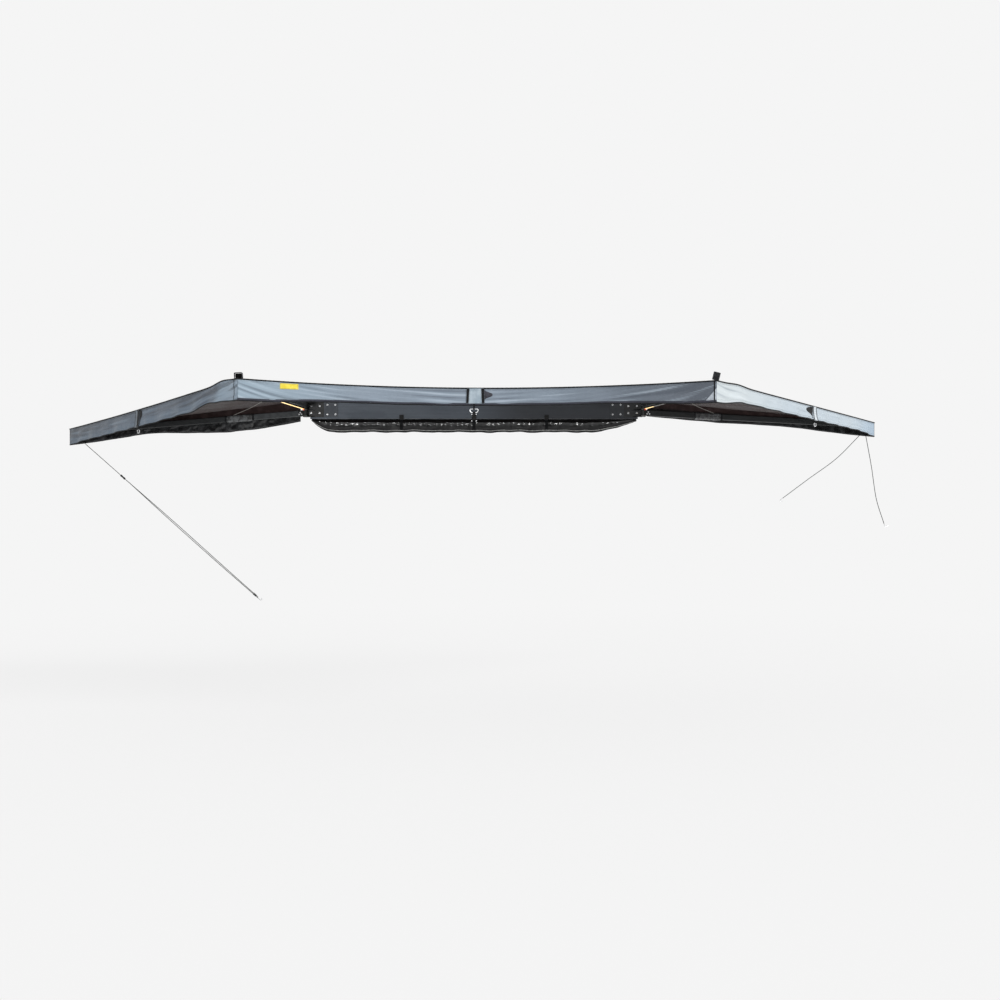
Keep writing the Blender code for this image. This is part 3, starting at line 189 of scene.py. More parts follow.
def mottled_finish(name, dark, pale, grain, roughness, depth=0.0002, stretch=(1, 1, 1), **more):
    """A finish in two close shades that follow its grain, given as a scale and a detail."""
    material, wire = new_material(name)
    spots = wire.speckle(wire.place(scale=stretch), *grain)
    shade = spots.ramp(0.3, 0.7).blend(paint(*dark), paint(*pale))
    finish_material(wire, shade, roughness, spots, depth, **more)
    return material


def evenly(start, finish, steps):
    return [start + (finish - start) * k / steps for k in range(steps + 1)]


def length_of(points):
    return sum((b - a).length for a, b in zip(points, points[1:]))


def smooth_route(points, spacing):
    """Points at an even spacing along a smooth curve through the route's own points."""
    places = [Vector(p) for p in points]
    whole = [2 * places[0] - places[1]] + places + [2 * places[-1] - places[-2]]
    fine = []
    for k in range(1, len(whole) - 2):
        a, b, c, d = whole[k - 1 : k + 3]
        steps = max(2, round((c - b).length / spacing))
        for i in range(steps):
            t = i / steps
            bend = 2 * b + (c - a) * t + (2 * a - 5 * b + 4 * c - d) * t**2 + (3 * b - a - 3 * c + d) * t**3
            fine.append(bend / 2)
    fine.append(places[-1])
    return fine


def skin_rings(shape, rings, map_at=None, closed=False, smooth=False):
    """Joins rings of vertices with faces and closes the ends. map_at gives a corner's place on the UV map."""
    layer = shape.loops.layers.uv.new("UVMap") if map_at else None
    around = len(rings[0])
    for k, (ring, following) in enumerate(zip(rings, rings[1:] + (rings[:1] if closed else []))):
        for i in range(around):
            j = (i + 1) % around
            face = shape.faces.new((ring[i], ring[j], following[j], following[i]))
            face.smooth = smooth
            if map_at:
                for loop, corner in zip(face.loops, ((i, k), (i + 1, k), (i + 1, k + 1), (i, k + 1))):
                    loop[layer].uv = map_at(*corner)
    if not closed:
        shape.faces.new(rings[0])
        shape.faces.new(rings[-1])


def to_mesh(name, shape):
    bmesh.ops.recalc_face_normals(shape, faces=shape.faces)
    mesh = bpy.data.meshes.new(name)
    shape.to_mesh(mesh)
    shape.free()
    return mesh


def add_piece(name, mesh, materials, body, slot, *nodes):
    """Puts a finished mesh in the scene on its body, in place of the solids that it stands for."""
    piece = bpy.data.objects.new(name, mesh)
    scene.collection.objects.link(piece)
    for material in materials:
        mesh.materials.append(material)
    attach(piece, body)
    if nodes:
        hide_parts(*nodes)
    return piece


def add_round(name, centres, sides, radius_at, finish, body, slot, *nodes):
    """A round skin along a line. radius_at gives its radius at an angle and a length along it."""
    shape = bmesh.new()
    side = (centres[1] - centres[0]).orthogonal()
    rings, lengths = [], []
    for k, centre in enumerate(centres):
        tangent = (centres[min(k + 1, len(centres) - 1)] - centres[max(0, k - 1)]).normalized()
        side = (side - tangent * side.dot(tangent)).normalized()
        up = tangent.cross(side)
        lengths.append(lengths[-1] + (centre - centres[k - 1]).length if k else 0.0)
        ring = []
        for i in range(sides):
            angle = 2 * math.pi * i / sides
            radius = radius_at(angle, lengths[-1])
            ring.append(shape.verts.new(centre + (side * math.cos(angle) + up * math.sin(angle)) * radius))
        rings.append(ring)
    skin_rings(shape, rings, lambda u, v: (u / sides, lengths[v]), smooth=True)
    return add_piece(name, to_mesh(name, shape), [finish], body, slot, *nodes)


def copy_solid(node, name, material, body, slot):
    """A piece with the shape of a solid, as a mesh of its own."""
    shape = bmesh.new()
    shape.from_mesh(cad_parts[node].data)
    bmesh.ops.remove_doubles(shape, verts=shape.verts, dist=1e-6)
    mesh = bpy.data.meshes.new(name)
    shape.to_mesh(mesh)
    shape.free()
    mesh.shade_smooth()
    mesh.set_sharp_from_angle(angle=math.radians(35))
    return add_piece(name, mesh, [material], body, slot, node)


def along(yaw):
    return Vector((math.cos(yaw), math.sin(yaw), 0))


def gather(piece, end, kind):
    """Gives the piece a mesh of its own, whichever arm or rail it is on."""
    if kind == "centre":
        end + "_mid_hinge"
        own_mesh(piece)
    else:
        end + "_side_hinge"
        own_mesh(piece)


rope_finish, wire = new_material("braided rope")
braid = (wire.axis(0, "UV") * (6 * math.pi) + wire.axis(1, "UV") * 520.0).sine()
finish_material(
    wire, braid.ramp(0.55, 0.95).blend(paint(48, 52, 50), paint(112, 116, 112)), 0.78, braid, 0.0004,
    Sheen_Weight=0.2
)
steel_finish, wire = new_material("bright zinc steel")
clouds = wire.speckle(wire.place(), 180.0, 3.0)
finish_material(
    wire, clouds.blend(paint(214, 216, 218), paint(240, 241, 242)), clouds.ramp(0.2, 0.8, 0.24, 0.42), clouds,
    0.0002, Metallic=0.55
)
plastic_finish, wire = new_material("black moulded nylon")
grain = wire.speckle(wire.place(), 1400.0, 2.0)
patches = wire.speckle(wire.place(), 30.0)
finish_material(
    wire, patches.blend(paint(20, 20, 21), paint(36, 37, 38)), grain.ramp(0.2, 0.8, 0.38, 0.55), grain, 0.0003,
    Specular_IOR_Level=0.3
)


def braided(angle, length):
    """The yarns of the braid cross each other as raised diamonds."""
    turn = 2 * math.pi * length / BRAID_LAY
    return ROPE_RADIUS * (0.97 + 0.07 * math.cos(3 * angle + turn) * math.cos(3 * angle - turn))


for rope_name, route in ROPE_ROUTES.items():
    end = rope_name.split("_")[0]
    body = end + "_side_arm"
    centres = smooth_route(route, ROPE_STEP)
    rope = add_round(rope_name + "_braid", centres, 12, braided, rope_finish, body, "rope", rope_name)
    fittings = [copy_solid(rope_name + "_hook", rope_name + "_wire_hook", steel_finish, body, "steel")]
    if end == "rear":
        fittings.append(copy_solid("rear_rope_runner", "rear_rope_slider", plastic_finish, body, "plastic"))
    length_of(centres)
    pull = centres[-1] - centres[0]
    for piece in [rope] + fittings:
        end + "_side_hinge"
        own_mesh(piece)

# The rear rope goes through its hook and back up to the slider, so that it lies double below the slider.
# Each point of the route is one on the rope, and how far beside it the second run lies.
DOUBLE_ROUTE = (
    ((-2.6215, 0.8342, -0.4127), 0.0061), ((-2.28, 0.832, -0.716), 0.0105), ((-1.94, 0.831, -1.02), 0.0095),
    ((-1.6265, 0.83, -1.2945), 0.0058),
)
KNOT_TURNS = 3
KNOT_RADIUS = 0.0072
beside = Vector((0.66, 0, 0.75))
double_centres = smooth_route([Vector(place) + beside * apart for place, apart in DOUBLE_ROUTE], ROPE_STEP)
double_rope = add_round(
    "rear_guy_rope_double", double_centres, 12, braided, rope_finish, "rear_side_arm", "rope"
)
last, before_last = (Vector(point) for point in ROPE_ROUTES["rear_guy_rope"][:-3:-1])
down_rope = (last - before_last).normalized()
knot_centres = []
for turn in evenly(0, 2 * math.pi * KNOT_TURNS, 63):
    round_rope = beside * math.cos(turn) + Vector((0, 1, 0)) * math.sin(turn)
    knot_centres.append(
        Vector((-1.66, 0.8301, -1.2652)) + beside * 0.003 + down_rope * (0.0046 * turn / math.pi)
        + round_rope * KNOT_RADIUS
    )
rope_knot = add_round("rear_guy_rope_knot", knot_centres, 10, braided, rope_finish, "rear_side_arm", "rope")
length_of(double_centres)
for piece in (double_rope, rope_knot):
    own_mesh(piece)


# Spreader cords, pale 3 mm cord stretched under each fan from the middle arm to the side arm. They keep the
# two arms apart when the wind lifts the cloth.
SPREADER_RADIUS = 0.0015
SPREADER_SAG = Vector((0, 0, 0.006))
SPREADERS = {
    "rear": ((-1.24397, -1.25736, 0.06731), (-1.69794, 0.15846, 0.03774)),
    "front": ((1.25797, -1.2962, 0.05977), (1.69017, 0.13215, 0.05138)),
}
cord_finish, wire = new_material("pale twisted cord")
lay_of_cord = (wire.axis(0, "UV") * (6 * math.pi) + wire.axis(1, "UV") * 900.0).sine()
finish_material(
    wire, lay_of_cord.ramp(-1, 1).blend(paint(150, 148, 140), paint(205, 203, 196)), 0.7, lay_of_cord, 0.0004
)


def twisted(angle, length):
    return SPREADER_RADIUS * (0.95 + 0.08 * math.cos(3 * angle + 2 * math.pi * length / 0.012))


for end, route in SPREADERS.items():
    start, finish = (Vector(point) for point in route)
    centres = smooth_route([start, start.lerp(finish, 0.5) - SPREADER_SAG, finish], 0.004)
    spreader = add_round(
        end + "_spreader", centres, 8, twisted, cord_finish, end + "_side_arm", "cord", end + "_spreader_cord"
    )
    length_of(centres)
    gather(spreader, end, "side")


# Back rail, an anodised aluminium extrusion, 2.26 m long and 120 mm high, with the drawing lines of the die
# along it. Steel angles bolt into its T-slot, and their slotted feet reach back.
def dress(material, *nodes):
    for node in nodes:
        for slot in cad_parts[node].material_slots:
            slot.material = material


rail_finish, wire = new_material("anodised extrusion")
die_lines = wire.speckle(wire.place(scale=(0.6, 260, 260)), 3.0, 3.0)
scuffs = wire.speckle(wire.place(scale=(1, 3, 3)), 6.0, 5.0)
along_rail = wire.axis(0)
streaked = (die_lines * 0.5 + scuffs * 0.5).ramp(0.3, 0.7)
# Painted light and shade: the rail is painted paler towards its rear end and darker towards its front end.
painted_lit_end = streaked.blend(paint(54, 60, 67), paint(68, 74, 82))
painted_shaded_end = streaked.blend(paint(33, 36, 40), paint(44, 47, 52))
rail_painted_shading = along_rail.ramp(-0.1, 0.4).blend(painted_lit_end, painted_shaded_end)
finish_material(wire, rail_painted_shading, scuffs.ramp(0.35, 0.65, 0.34, 0.5), die_lines, 0.0002, Metallic=0.5)
bracket_finish, wire = new_material("black powder coat on steel")
orange_peel = wire.speckle(wire.place(), 700.0, 1.5)
worn = wire.speckle(wire.place(), 90.0, 6.0)
along_rail = wire.axis(0)
from_middle = wire.maths("ABSOLUTE", along_rail)
# The plates are painted paler towards the rear end and darker towards the front end, painted light and shade as
# on the rail.
plate_painted_shading = along_rail.ramp(-0.1, 0.4).blend(paint(58, 63, 70), paint(36, 39, 43))
hub_shade = worn.ramp(0.66, 0.8).blend(paint(26, 27, 28), paint(74, 74, 73))
bracket_shade = from_middle.ramp(1.033, 1.036).blend(plate_painted_shading, hub_shade)
finish_material(
    wire, bracket_shade, worn.ramp(0.3, 0.7, 0.34, 0.5), orange_peel, 0.0003, Metallic=0.15,
    Specular_IOR_Level=0.35
)
dress(rail_finish, "back_rail")
dress(
    bracket_finish, "mount_bracket_rear", "mount_bracket_centre", "mount_bracket_front", "rear_end_bracket",
    "front_end_bracket"
)


def screw_mesh(name, radius, height, socket_floor):
    """A cap screw's head: a washer, a slightly crowned head, and a hexagon socket down to its floor."""
    shape = bmesh.new()
    washer = radius * 1.25
    profile = [
        (washer, 0.0), (washer, 0.0011), (radius, 0.0011), (radius, height * 0.86), (radius * 0.9, height),
        (radius * 0.58, height), (radius * 0.55, height - 0.0003), (radius * 0.55, socket_floor),
    ]
    rings = []
    for k, (radius_here, z) in enumerate(profile):
        ring = []
        for i in range(12):
            angle = math.pi * i / 6
            reach = radius_here * (0.93 if k > 4 and i % 2 else 1.0)
            ring.append(shape.verts.new((reach * math.cos(angle), reach * math.sin(angle), z)))
        rings.append(ring)
    skin_rings(shape, rings)
    return to_mesh(name, shape)


def new_tree(name, *inputs):
    """A tree that makes one shape from these inputs, each given as its name and the kind of its socket."""
    tree = bpy.data.node_groups.new(name, "GeometryNodeTree")
    for label, kind in inputs:
        tree.interface.new_socket(label, in_out="INPUT", socket_type="NodeSocket" + kind)
    tree.interface.new_socket("Shape", in_out="OUTPUT", socket_type="NodeSocketGeometry")
    wire = Wire(tree)
    return wire, [wire.node("NodeGroupInput", output=k) for k in range(len(inputs))]


def place_copies(wire, points, part, axis, way, finish):
    """Ends a tree: a copy of the part on every point with an axis turned to its way, all made real."""
    shape = wire.node("GeometryNodeObjectInfo", None, {"Object": part}, "Geometry")
    turn = wire.node("FunctionNodeAlignRotationToVector", {"axis": axis}, {"Vector": way})
    copies = wire.node(
        "GeometryNodeInstanceOnPoints", None, {"Points": points, "Instance": shape, "Rotation": turn}
    )
    real = wire.node("GeometryNodeRealizeInstances", None, {"Geometry": copies})
    finished = wire.node("GeometryNodeSetMaterial", None, {"Geometry": real, "Material": finish})
    wire.node("NodeGroupOutput", None, {0: finished})
    return wire.tree


def parts_tree():
    """Puts a copy of a part on each point of a mesh, with its top turned to that point's direction."""
    wire, (points, part, finish) = new_tree(
        "parts on points", ("Points", "Geometry"), ("Part", "Object"), ("Finish", "Material")
    )
    facing = wire.node("GeometryNodeInputNamedAttribute", {"data_type": "FLOAT_VECTOR"}, {"Name": "facing"})
    return place_copies(wire, points, part, "Z", facing, finish)


def settled(name, source_mesh, tree, values):
    """Runs a node tree on a mesh and gives the result as a plain mesh."""
    holder = bpy.data.objects.new(name, source_mesh)
    scene.collection.objects.link(holder)
    modifier = holder.modifiers.new("nodes", "NODES")
    modifier.node_group = tree
    for item in tree.interface.items_tree:
        if item.name in values:
            modifier[item.identifier] = values[item.name]
    bpy.context.view_layer.update()
    result = bpy.data.meshes.new_from_object(holder.evaluated_get(bpy.context.evaluated_depsgraph_get()))
    bpy.data.objects.remove(holder)
    result.name = name
    return result


PARTS_TREE = parts_tree()


def add_parts(name, part_mesh, spots, material, body, slot):
    """Adds like parts as one piece. Each spot is a place and the direction that the part's top looks in."""
    part = bpy.data.objects.new(name + "_pattern", part_mesh)
    source = bpy.data.meshes.new(name + "_points")
    source.from_pydata([tuple(place) for place, facing in spots], [], [])
    attribute = source.attributes.new("facing", "FLOAT_VECTOR", "POINT")
    attribute.data.foreach_set("vector", [c for place, facing in spots for c in facing])
    mesh = settled(name, source, PARTS_TREE, {"Part": part, "Finish": material})
    bpy.data.objects.remove(part)
    mesh.set_sharp_from_angle(angle=math.radians(35))
    return add_piece(name, mesh, [], body, slot)


PLATE_FACE = -0.0846
PLATE_MIDDLE = 0.0638
BRACKET_SCREWS = ((0.037, 0.024), (0.096, 0.024), (0.149, 0.033), (0.204, 0.033))
bracket_screw = screw_mesh("bracket_screw", 0.0052, 0.005, 0.0036)
bracket_spots = []
for end in SIGN:
    for reach, rise in BRACKET_SCREWS:
        for up in (-rise, rise):
            spot = Vector((PIN[end].x - SIGN[end] * reach, PLATE_FACE, PLATE_MIDDLE + up))
            bracket_spots.append((spot, Vector((0, -1, 0))))
add_parts("end_bracket_screws", bracket_screw, bracket_spots, steel_finish, "rail", "steel")
foot_screw = screw_mesh("foot_screw", 0.0088, 0.0068, 0.0052)
foot_spots = [(Vector((x, -0.045, 0.07)), Vector((0, 1, 0))) for x in (-0.75, 0, 0.75)]
add_parts("foot_bracket_screws", foot_screw, foot_spots, steel_finish, "rail", "steel")


# Hubs: steel hinge pins with turned heads, pale nylon bushes with flanges, and moulded knuckles that plug
# into the arms' tubes. Three cap screws hold each side knuckle on its tube.
nylon_finish, wire = new_material("natural nylon")
clouds = wire.speckle(wire.place(), 120.0, 3.0)
finish_material(
    wire, clouds.blend(paint(214, 211, 200), paint(232, 230, 222)), clouds.ramp(0.3, 0.7, 0.36, 0.5), clouds,
    0.0002, Subsurface_Weight=0.1, Subsurface_Scale=0.003
)
for end in SIGN:
    dress(steel_finish, end + "_hinge_pin")
    dress(nylon_finish, end + "_mid_bush", end + "_side_bush")
    dress(plastic_finish, end + "_mid_knuckle", end + "_side_knuckle")

# Arm tubes, square aluminium tube of 32 x 40 mm in dark grey powder coat, with painted light near the rear hub
# and painted shade near the front hub. Each is closed by a pressed-in cap.
ARM_LEVEL = {"mid": 0.0723, "side": 0.0171}
ARM_DROOP = {
    ("rear", "mid"): 0.007814, ("front", "mid"): 0.0143726,
    ("rear", "side"): 0.0388935, ("front", "side"): 0.0161868,
}
ARM_WIDTH = 0.032
ARM_HEIGHT = 0.04
NEAR_HUB_PAINTED_SHADING = {
    "rear": (paint(64, 67, 69), paint(80, 83, 85)), "front": (paint(32, 33, 34), paint(42, 43, 44))
}
KNUCKLE_SCREWS = ((0.02, 0.014), (0.03, 0.026), (0.04, 0.014))


def arm_frame(end, kind):
    """x along the arm from its pin, y across it, and z up from its underside."""
    turn = Matrix.Rotation(YAW[end, kind], 4, "Z")
    level = Matrix.Translation((0, 0, ARM_LEVEL[kind]))
    return Matrix.Translation(PIN[end]) @ turn @ level @ Matrix.Rotation(ARM_DROOP[end, kind], 4, "Y")


for end in SIGN:
    for kind in ("mid", "side"):
        arm_finish, wire = new_material(end + " " + kind + " arm coat")
        lengthwise = wire.place(scale=(1.5, 40, 40), turn=-YAW[end, kind])
        rubbed = wire.speckle(lengthwise, 2.0, 4.0)
        peel = wire.speckle(wire.place(), 900.0, 1.5)
        from_pin = wire.distance_from(PIN[end])
        near_hub_painted_shading = rubbed.ramp(0.3, 0.8).blend(*NEAR_HUB_PAINTED_SHADING[end])
        far_out = rubbed.ramp(0.3, 0.8).blend(paint(38, 40, 41), paint(48, 50, 51))
        # Painted light near the rear hub and painted shade near the front hub, fading to the plain coat further
        # out.
        shade = from_pin.ramp(0.45, 0.75).blend(near_hub_painted_shading, far_out)
        finish_material(
            wire, shade, rubbed.ramp(0.3, 0.7, 0.36, 0.52), peel, 0.0003, Metallic=0.1, Specular_IOR_Level=0.35
        )
        dress(arm_finish, end + "_" + kind + "_arm_tube")
        dress(plastic_finish, end + "_" + kind + "_end_cap")
    outer = -SIGN[end]
    frame_of_arm = arm_frame(end, "side")
    facing = frame_of_arm.to_3x3() @ Vector((0, outer, 0))
    spots = []
    for reach, up in KNUCKLE_SCREWS:
        spots.append((frame_of_arm @ Vector((reach, outer * ARM_WIDTH / 2, up)), facing))
    knuckle_screw = screw_mesh("knuckle_screw", 0.0044, 0.0034, 0.0021)
    add_parts(end + "_knuckle_screws", knuckle_screw, spots, steel_finish, end + "_side_arm", "steel")


# Lamp strips, a black channel under each middle arm with a frosted lens, warm white, and a row of diodes
# that stand a little out of the lens.
LAMP_START = 0.075
LAMP_LENGTH = 0.78
DIODE_SPACING = 0.026
LIT_LENGTH = {"rear": 0.9, "front": 0.36}
LENS_LEVEL = -0.0102
PLUG_LEVEL = -0.0138


def lit_material(name, end, strength, warm, pale):
    """A warm white part of a lamp, lit as far out along the arm as its switch sets it."""
    material, wire = new_material(end + " " + name)
    mottle = wire.speckle(wire.place(), 500.0, 2.0).ramp(0.2, 0.8)
    unlit = wire.distance_from(PIN[end]).ramp(LIT_LENGTH[end], LIT_LENGTH[end] + 0.04)
    finish_material(
        wire, unlit.blend(pale, paint(92, 86, 78)), 0.35, mottle, 0.0002,
        Emission_Color=unlit.blend(mottle.blend(warm, pale), paint(0, 0, 0)), Emission_Strength=strength
    )
    return material


plug_finish = mottled_finish("red moulded lamp plug", (214, 84, 74), (240, 120, 104), (300.0, 2.0), 0.4)


def plug_radius(angle, length):
    """The plug's body, and its thinner neck at the cable's end."""
    return 0.004 if length > 0.026 else 0.0056


def diode_mesh():
    """A low dome on a square foot."""
    shape = bmesh.new()
    rings = []
    for half, z in ((0.0024, 0.0), (0.0024, 0.0006), (0.0017, 0.0012), (0.0008, 0.0015)):
        corners = ((half, half), (-half, half), (-half, -half), (half, -half))
        rings.append([shape.verts.new((x, y, z)) for x, y in corners])
    skin_rings(shape, rings)
    return to_mesh("diode", shape)


for end in SIGN:
    dress(plastic_finish, end + "_lamp_channel")
    lens_finish = lit_material("frosted lens", end, 0.9, paint(255, 196, 104), paint(255, 220, 150))
    diode_finish = lit_material("lit diode", end, 1.6, paint(255, 214, 130), paint(255, 240, 190))
    dress(lens_finish, end + "_lamp_lens")
    frame_of_arm = arm_frame(end, "mid")
    down = frame_of_arm.to_3x3() @ Vector((0, 0, -1))
    count = int(LAMP_LENGTH / DIODE_SPACING)
    spots = []
    for k in range(count):
        reach = LAMP_START + (k + 0.5) * LAMP_LENGTH / count
        spots.append((frame_of_arm @ Vector((reach, 0, LENS_LEVEL)), down))
    add_parts(end + "_lamp_diodes", diode_mesh(), spots, diode_finish, end + "_mid_arm", "lens")
    plug_reaches = evenly(LAMP_START + 0.014, LAMP_START - 0.02, 12)
    plug_line = [frame_of_arm @ Vector((reach, 0, PLUG_LEVEL)) for reach in plug_reaches]
    add_round(end + "_lamp_plug", plug_line, 12, plug_radius, plug_finish, end + "_mid_arm", "plastic")


# Canopy, coated polyester canvas, blue-grey outside and dark inside, sewn from panels: a middle canopy in
# two halves that hangs from a bead in the rail, and two panels in each fan. A skirt hangs from its edge.
CLOTH = 0.0012
THREAD = 0.0016
SEAM_GAP = 0.0004
CORNER_REACH = 2.15
APEX = {"rear": Vector((-1.125, -0.0723, 0.131)), "front": Vector((1.125, -0.0723, 0.131))}
BEAD_LEVEL = 0.1148
MID_CORNER_LEVEL = {"rear": 0.0975, "front": 0.0834}
SIDE_CORNER = {"rear": Vector((-3.05738, 0.90109, -0.0245)), "front": Vector((3.03025, 0.91041, 0.0243))}
FAN_MIDDLE = {"rear": Vector((-2.17731, -0.68821, 0.0235)), "front": Vector((2.20579, -0.71812, 0.042))}
CENTRE_MIDDLE = Vector((0, -1.9759, 0.0665))
CANOPY_SAG = 0.02
SKIRT_CORNER_HEIGHT = 0.115
SKIRT_TIP_HEIGHT = {"rear": 0.117, "front": 0.1}
SKIRT_MIDDLE_HEIGHT = {"centre": 0.094, "rear": 0.107, "front": 0.084}
SKIRT_TAPER = 0.6
STRAP_HALF_WIDTH = {"centre": 0.048, "rear": 0.042, "front": 0.042}
# Each skirt's colour with painted light and shade, from its end at -X over its middle to its end at +X, and the
# painted highlights and painted shade of its folds. The one cloth is painted pale on the front fan and dark on
# the rear fan.
CANVAS_COLOURS_WITH_PAINTED_LIGHT = {
    "centre": (paint(136, 153, 166), paint(122, 134, 147), paint(84, 91, 101)),
    "rear": (paint(66, 73, 82), paint(84, 96, 110), paint(100, 115, 131)),
    "front": (paint(198, 206, 209), paint(178, 190, 199), paint(152, 171, 188)),
}
CANVAS_SLUB_AND_PAINTED_HIGHLIGHT = {"centre": paint(172, 185, 197), "rear": paint(124, 142, 160), "front": paint(214, 221, 225)}
CANVAS_PAINTED_DEEP_SHADE = {"centre": paint(78, 86, 98), "rear": paint(42, 49, 60), "front": paint(120, 133, 146)}


def canvas_material(where):
    """Canvas whose skirt has its own colour with painted light and shade. Its weave and its drawn threads follow
    the cloth.
    """
    material, wire = new_material("blue-grey canvas " + where)
    weave = wire.threads(0, THREAD) * wire.threads(1, THREAD)
    weathered = wire.speckle(wire.place(), 5.0, 5.0)
    slubs = wire.speckle(wire.place("UV", (1.0, 14.0, 1.0)), 60.0, 3.0)
    fold, run, depth = (wire.tag(name) for name in ("fold", "run", "depth"))
    low, middle, high = CANVAS_COLOURS_WITH_PAINTED_LIGHT[where]
    low_end, high_start = {"rear": (0.55, 0.86), "front": (0.4, 0.75)}.get(where, (0.3, 0.62))
    # Painted light and shade along the skirt, from one end of it to the other.
    shade = run.ramp(high_start, 1.0).blend(run.ramp(0.0, low_end).blend(low, middle), high)
    # The rear skirt is bluer and paler towards its hem, with painted shade under its edge and painted light
    # beside the corner.
    if where == "rear":
        shade = depth.ramp(0.3, 0.9, 0.0, 0.4).blend(shade, paint(112, 131, 150))
        shade = depth.ramp(0.04, 0.2, 0.5, 0.0).blend(shade, CANVAS_PAINTED_DEEP_SHADE[where])
        shade = (run + depth * 0.012).ramp(0.906, 0.938).blend(shade, paint(150, 168, 184))
    # Painted highlights on the folds that look up, and painted shade in those that look down.
    shade = fold.ramp(0.1, 0.75, 0.0, 0.5).blend(shade, CANVAS_SLUB_AND_PAINTED_HIGHLIGHT[where])
    shade = fold.ramp(-0.75, -0.1, 0.6, 0.0).blend(shade, CANVAS_PAINTED_DEEP_SHADE[where])
    top = weathered.ramp(0.35, 0.65).blend(paint(118, 130, 142), paint(138, 150, 161))
    colour = depth.ramp(-0.01, 0.04).blend(top, shade)
    # At its front corner the middle skirt is turned up, with painted shade in a crease and painted light on the
    # turned-up cloth beyond it.
    if where == "centre":
        turned_up = (run - 0.979) * 28 + depth
        turned_up_painted_light = slubs.ramp(0.35, 0.6).blend(paint(206, 212, 218), paint(150, 160, 172))
        colour = turned_up.ramp(0.83, 0.87).blend(colour, paint(70, 76, 86))
        colour = turned_up.ramp(0.9, 0.95).blend(colour, turned_up_painted_light)
    # The thread slubs are paler, in the colour of the painted highlights.
    colour = slubs.ramp(0.5, 0.8, 0.0, 0.2).blend(colour, CANVAS_SLUB_AND_PAINTED_HIGHLIGHT[where])
    finish_material(
        wire, colour, weathered.ramp(0.3, 0.7, 0.55, 0.72), weave * 0.4 + slubs, 0.0004, Sheen_Weight=0.12,
        Sheen_Roughness=0.5
    )
    return material


canvas_finish = {where: canvas_material(where) for where in CANVAS_COLOURS_WITH_PAINTED_LIGHT}
coating_finish, wire = new_material("dark coated inside")
bloom = wire.speckle(wire.place(), 7.0, 4.0)
finish_material(
    wire, bloom.ramp(0.3, 0.7).blend(paint(42, 30, 29), paint(56, 42, 40)), bloom.ramp(0.3, 0.7, 0.5, 0.68),
    wire.threads(0, THREAD), 0.0003, Specular_IOR_Level=0.25
)


def tape_material(name, dark, pale):
    """Woven tape with its ribs across it and some lint."""
    material, wire = new_material(name)
    lint = wire.speckle(wire.place(), 240.0, 3.0)
    shade, rough = lint.ramp(0.5, 0.8).blend(dark, pale), lint.ramp(0.3, 0.7, 0.6, 0.8)
    finish_material(wire, shade, rough, wire.threads(1, 0.0022), 0.0004, Specular_IOR_Level=0.2)
    return material


trim_finish = tape_material("black binding tape", paint(17, 18, 20), paint(42, 44, 47))
hem_finish = tape_material("dark grey hem tape", paint(56, 57, 66), paint(78, 79, 88))
thread_finish = mottled_finish(
    "grey bonded thread", (92, 97, 103), (150, 155, 160), (900.0, 2.0), 0.6, stretch=(1, 1, 4)
)


def mid_corner(end):
    point = PIN[end] + along(YAW[end, "mid"]) * CORNER_REACH
    return Vector((point.x, point.y, MID_CORNER_LEVEL[end]))


def hump(distance, width):
    """1 at the place itself, and less with the distance from it."""
    return math.exp(-((distance / width) ** 2))


def curve_through(start, middle, finish, lift=0.0, place=0.0):
    """A bow through three points, drawn up a little at one place."""
    control = 2 * middle - (start + finish) / 2

    def at(t):
        point = start * (1 - t) ** 2 + control * (2 * t * (1 - t)) + finish * t**2
        return point + Vector((0, 0, lift * hump(t - place, 0.04)))

    return at


def edge_outward(edge, t):
    step = edge(min(1, t + 0.01)) - edge(max(0, t - 0.01))
    return Vector((step.y, -step.x, 0)).normalized()


def fade(distance, length=0.12):
    share = max(0.0, min(1.0, distance / length))
    return share * share * (3 - 2 * share)


def ripple(x, y, seed):
    return noise.noise(Vector((x, y, seed * 7.31)))


# How much the middle arm's cap lifts a fan's edge, and where along it
CAP_LIFT = {"rear": (0.014, 0.937), "front": (0.008, 0.088)}
EDGES = {
    "centre": curve_through(mid_corner("rear"), CENTRE_MIDDLE, mid_corner("front")),
    "rear": curve_through(SIDE_CORNER["rear"], FAN_MIDDLE["rear"], mid_corner("rear"), *CAP_LIFT["rear"]),
    "front": curve_through(mid_corner("front"), FAN_MIDDLE["front"], SIDE_CORNER["front"], *CAP_LIFT["front"]),
}
EDGE_WIDTH = {where: length_of([edge(k / 40) for k in range(41)]) for where, edge in EDGES.items()}
# Where along a fan's edge the middle arm's tip lifts the cloth. The middle canopy is lifted at both its ends.
PEAK = {"rear": 1.0, "front": 0.0}
# How far the arm's pull draws up the hem beside a peak
HEM_PULL = {"centre": 0.0, "rear": 0.024, "front": 0.0}
# The slope of the folds that fall from the peaks, their size, their width, and the swell between the peaks
FOLD_SLOPE = {"centre": 0.34, "rear": 0.16, "front": 0.13}
FOLD_SIZE = {"centre": 0.8, "rear": 1.0, "front": 0.45}
FOLD_PITCH = 0.021
SWELL_PITCH = 0.33
SWELL_SHIFT = {"centre": 0.4, "rear": 1.1, "front": 1.1}


def from_peak_at(where, t):
    """The distance along the edge to the nearest arm's tip that lifts the cloth."""
    return (abs(t - PEAK[where]) if where in PEAK else min(t, 1 - t)) * EDGE_WIDTH[where]


def across_folds_at(where, from_peak, depth):
    """The place across the folds, which slope down and away from the peak."""
    return depth * 0.105 - FOLD_SLOPE[where] * from_peak / (1 + 1.5 * from_peak)


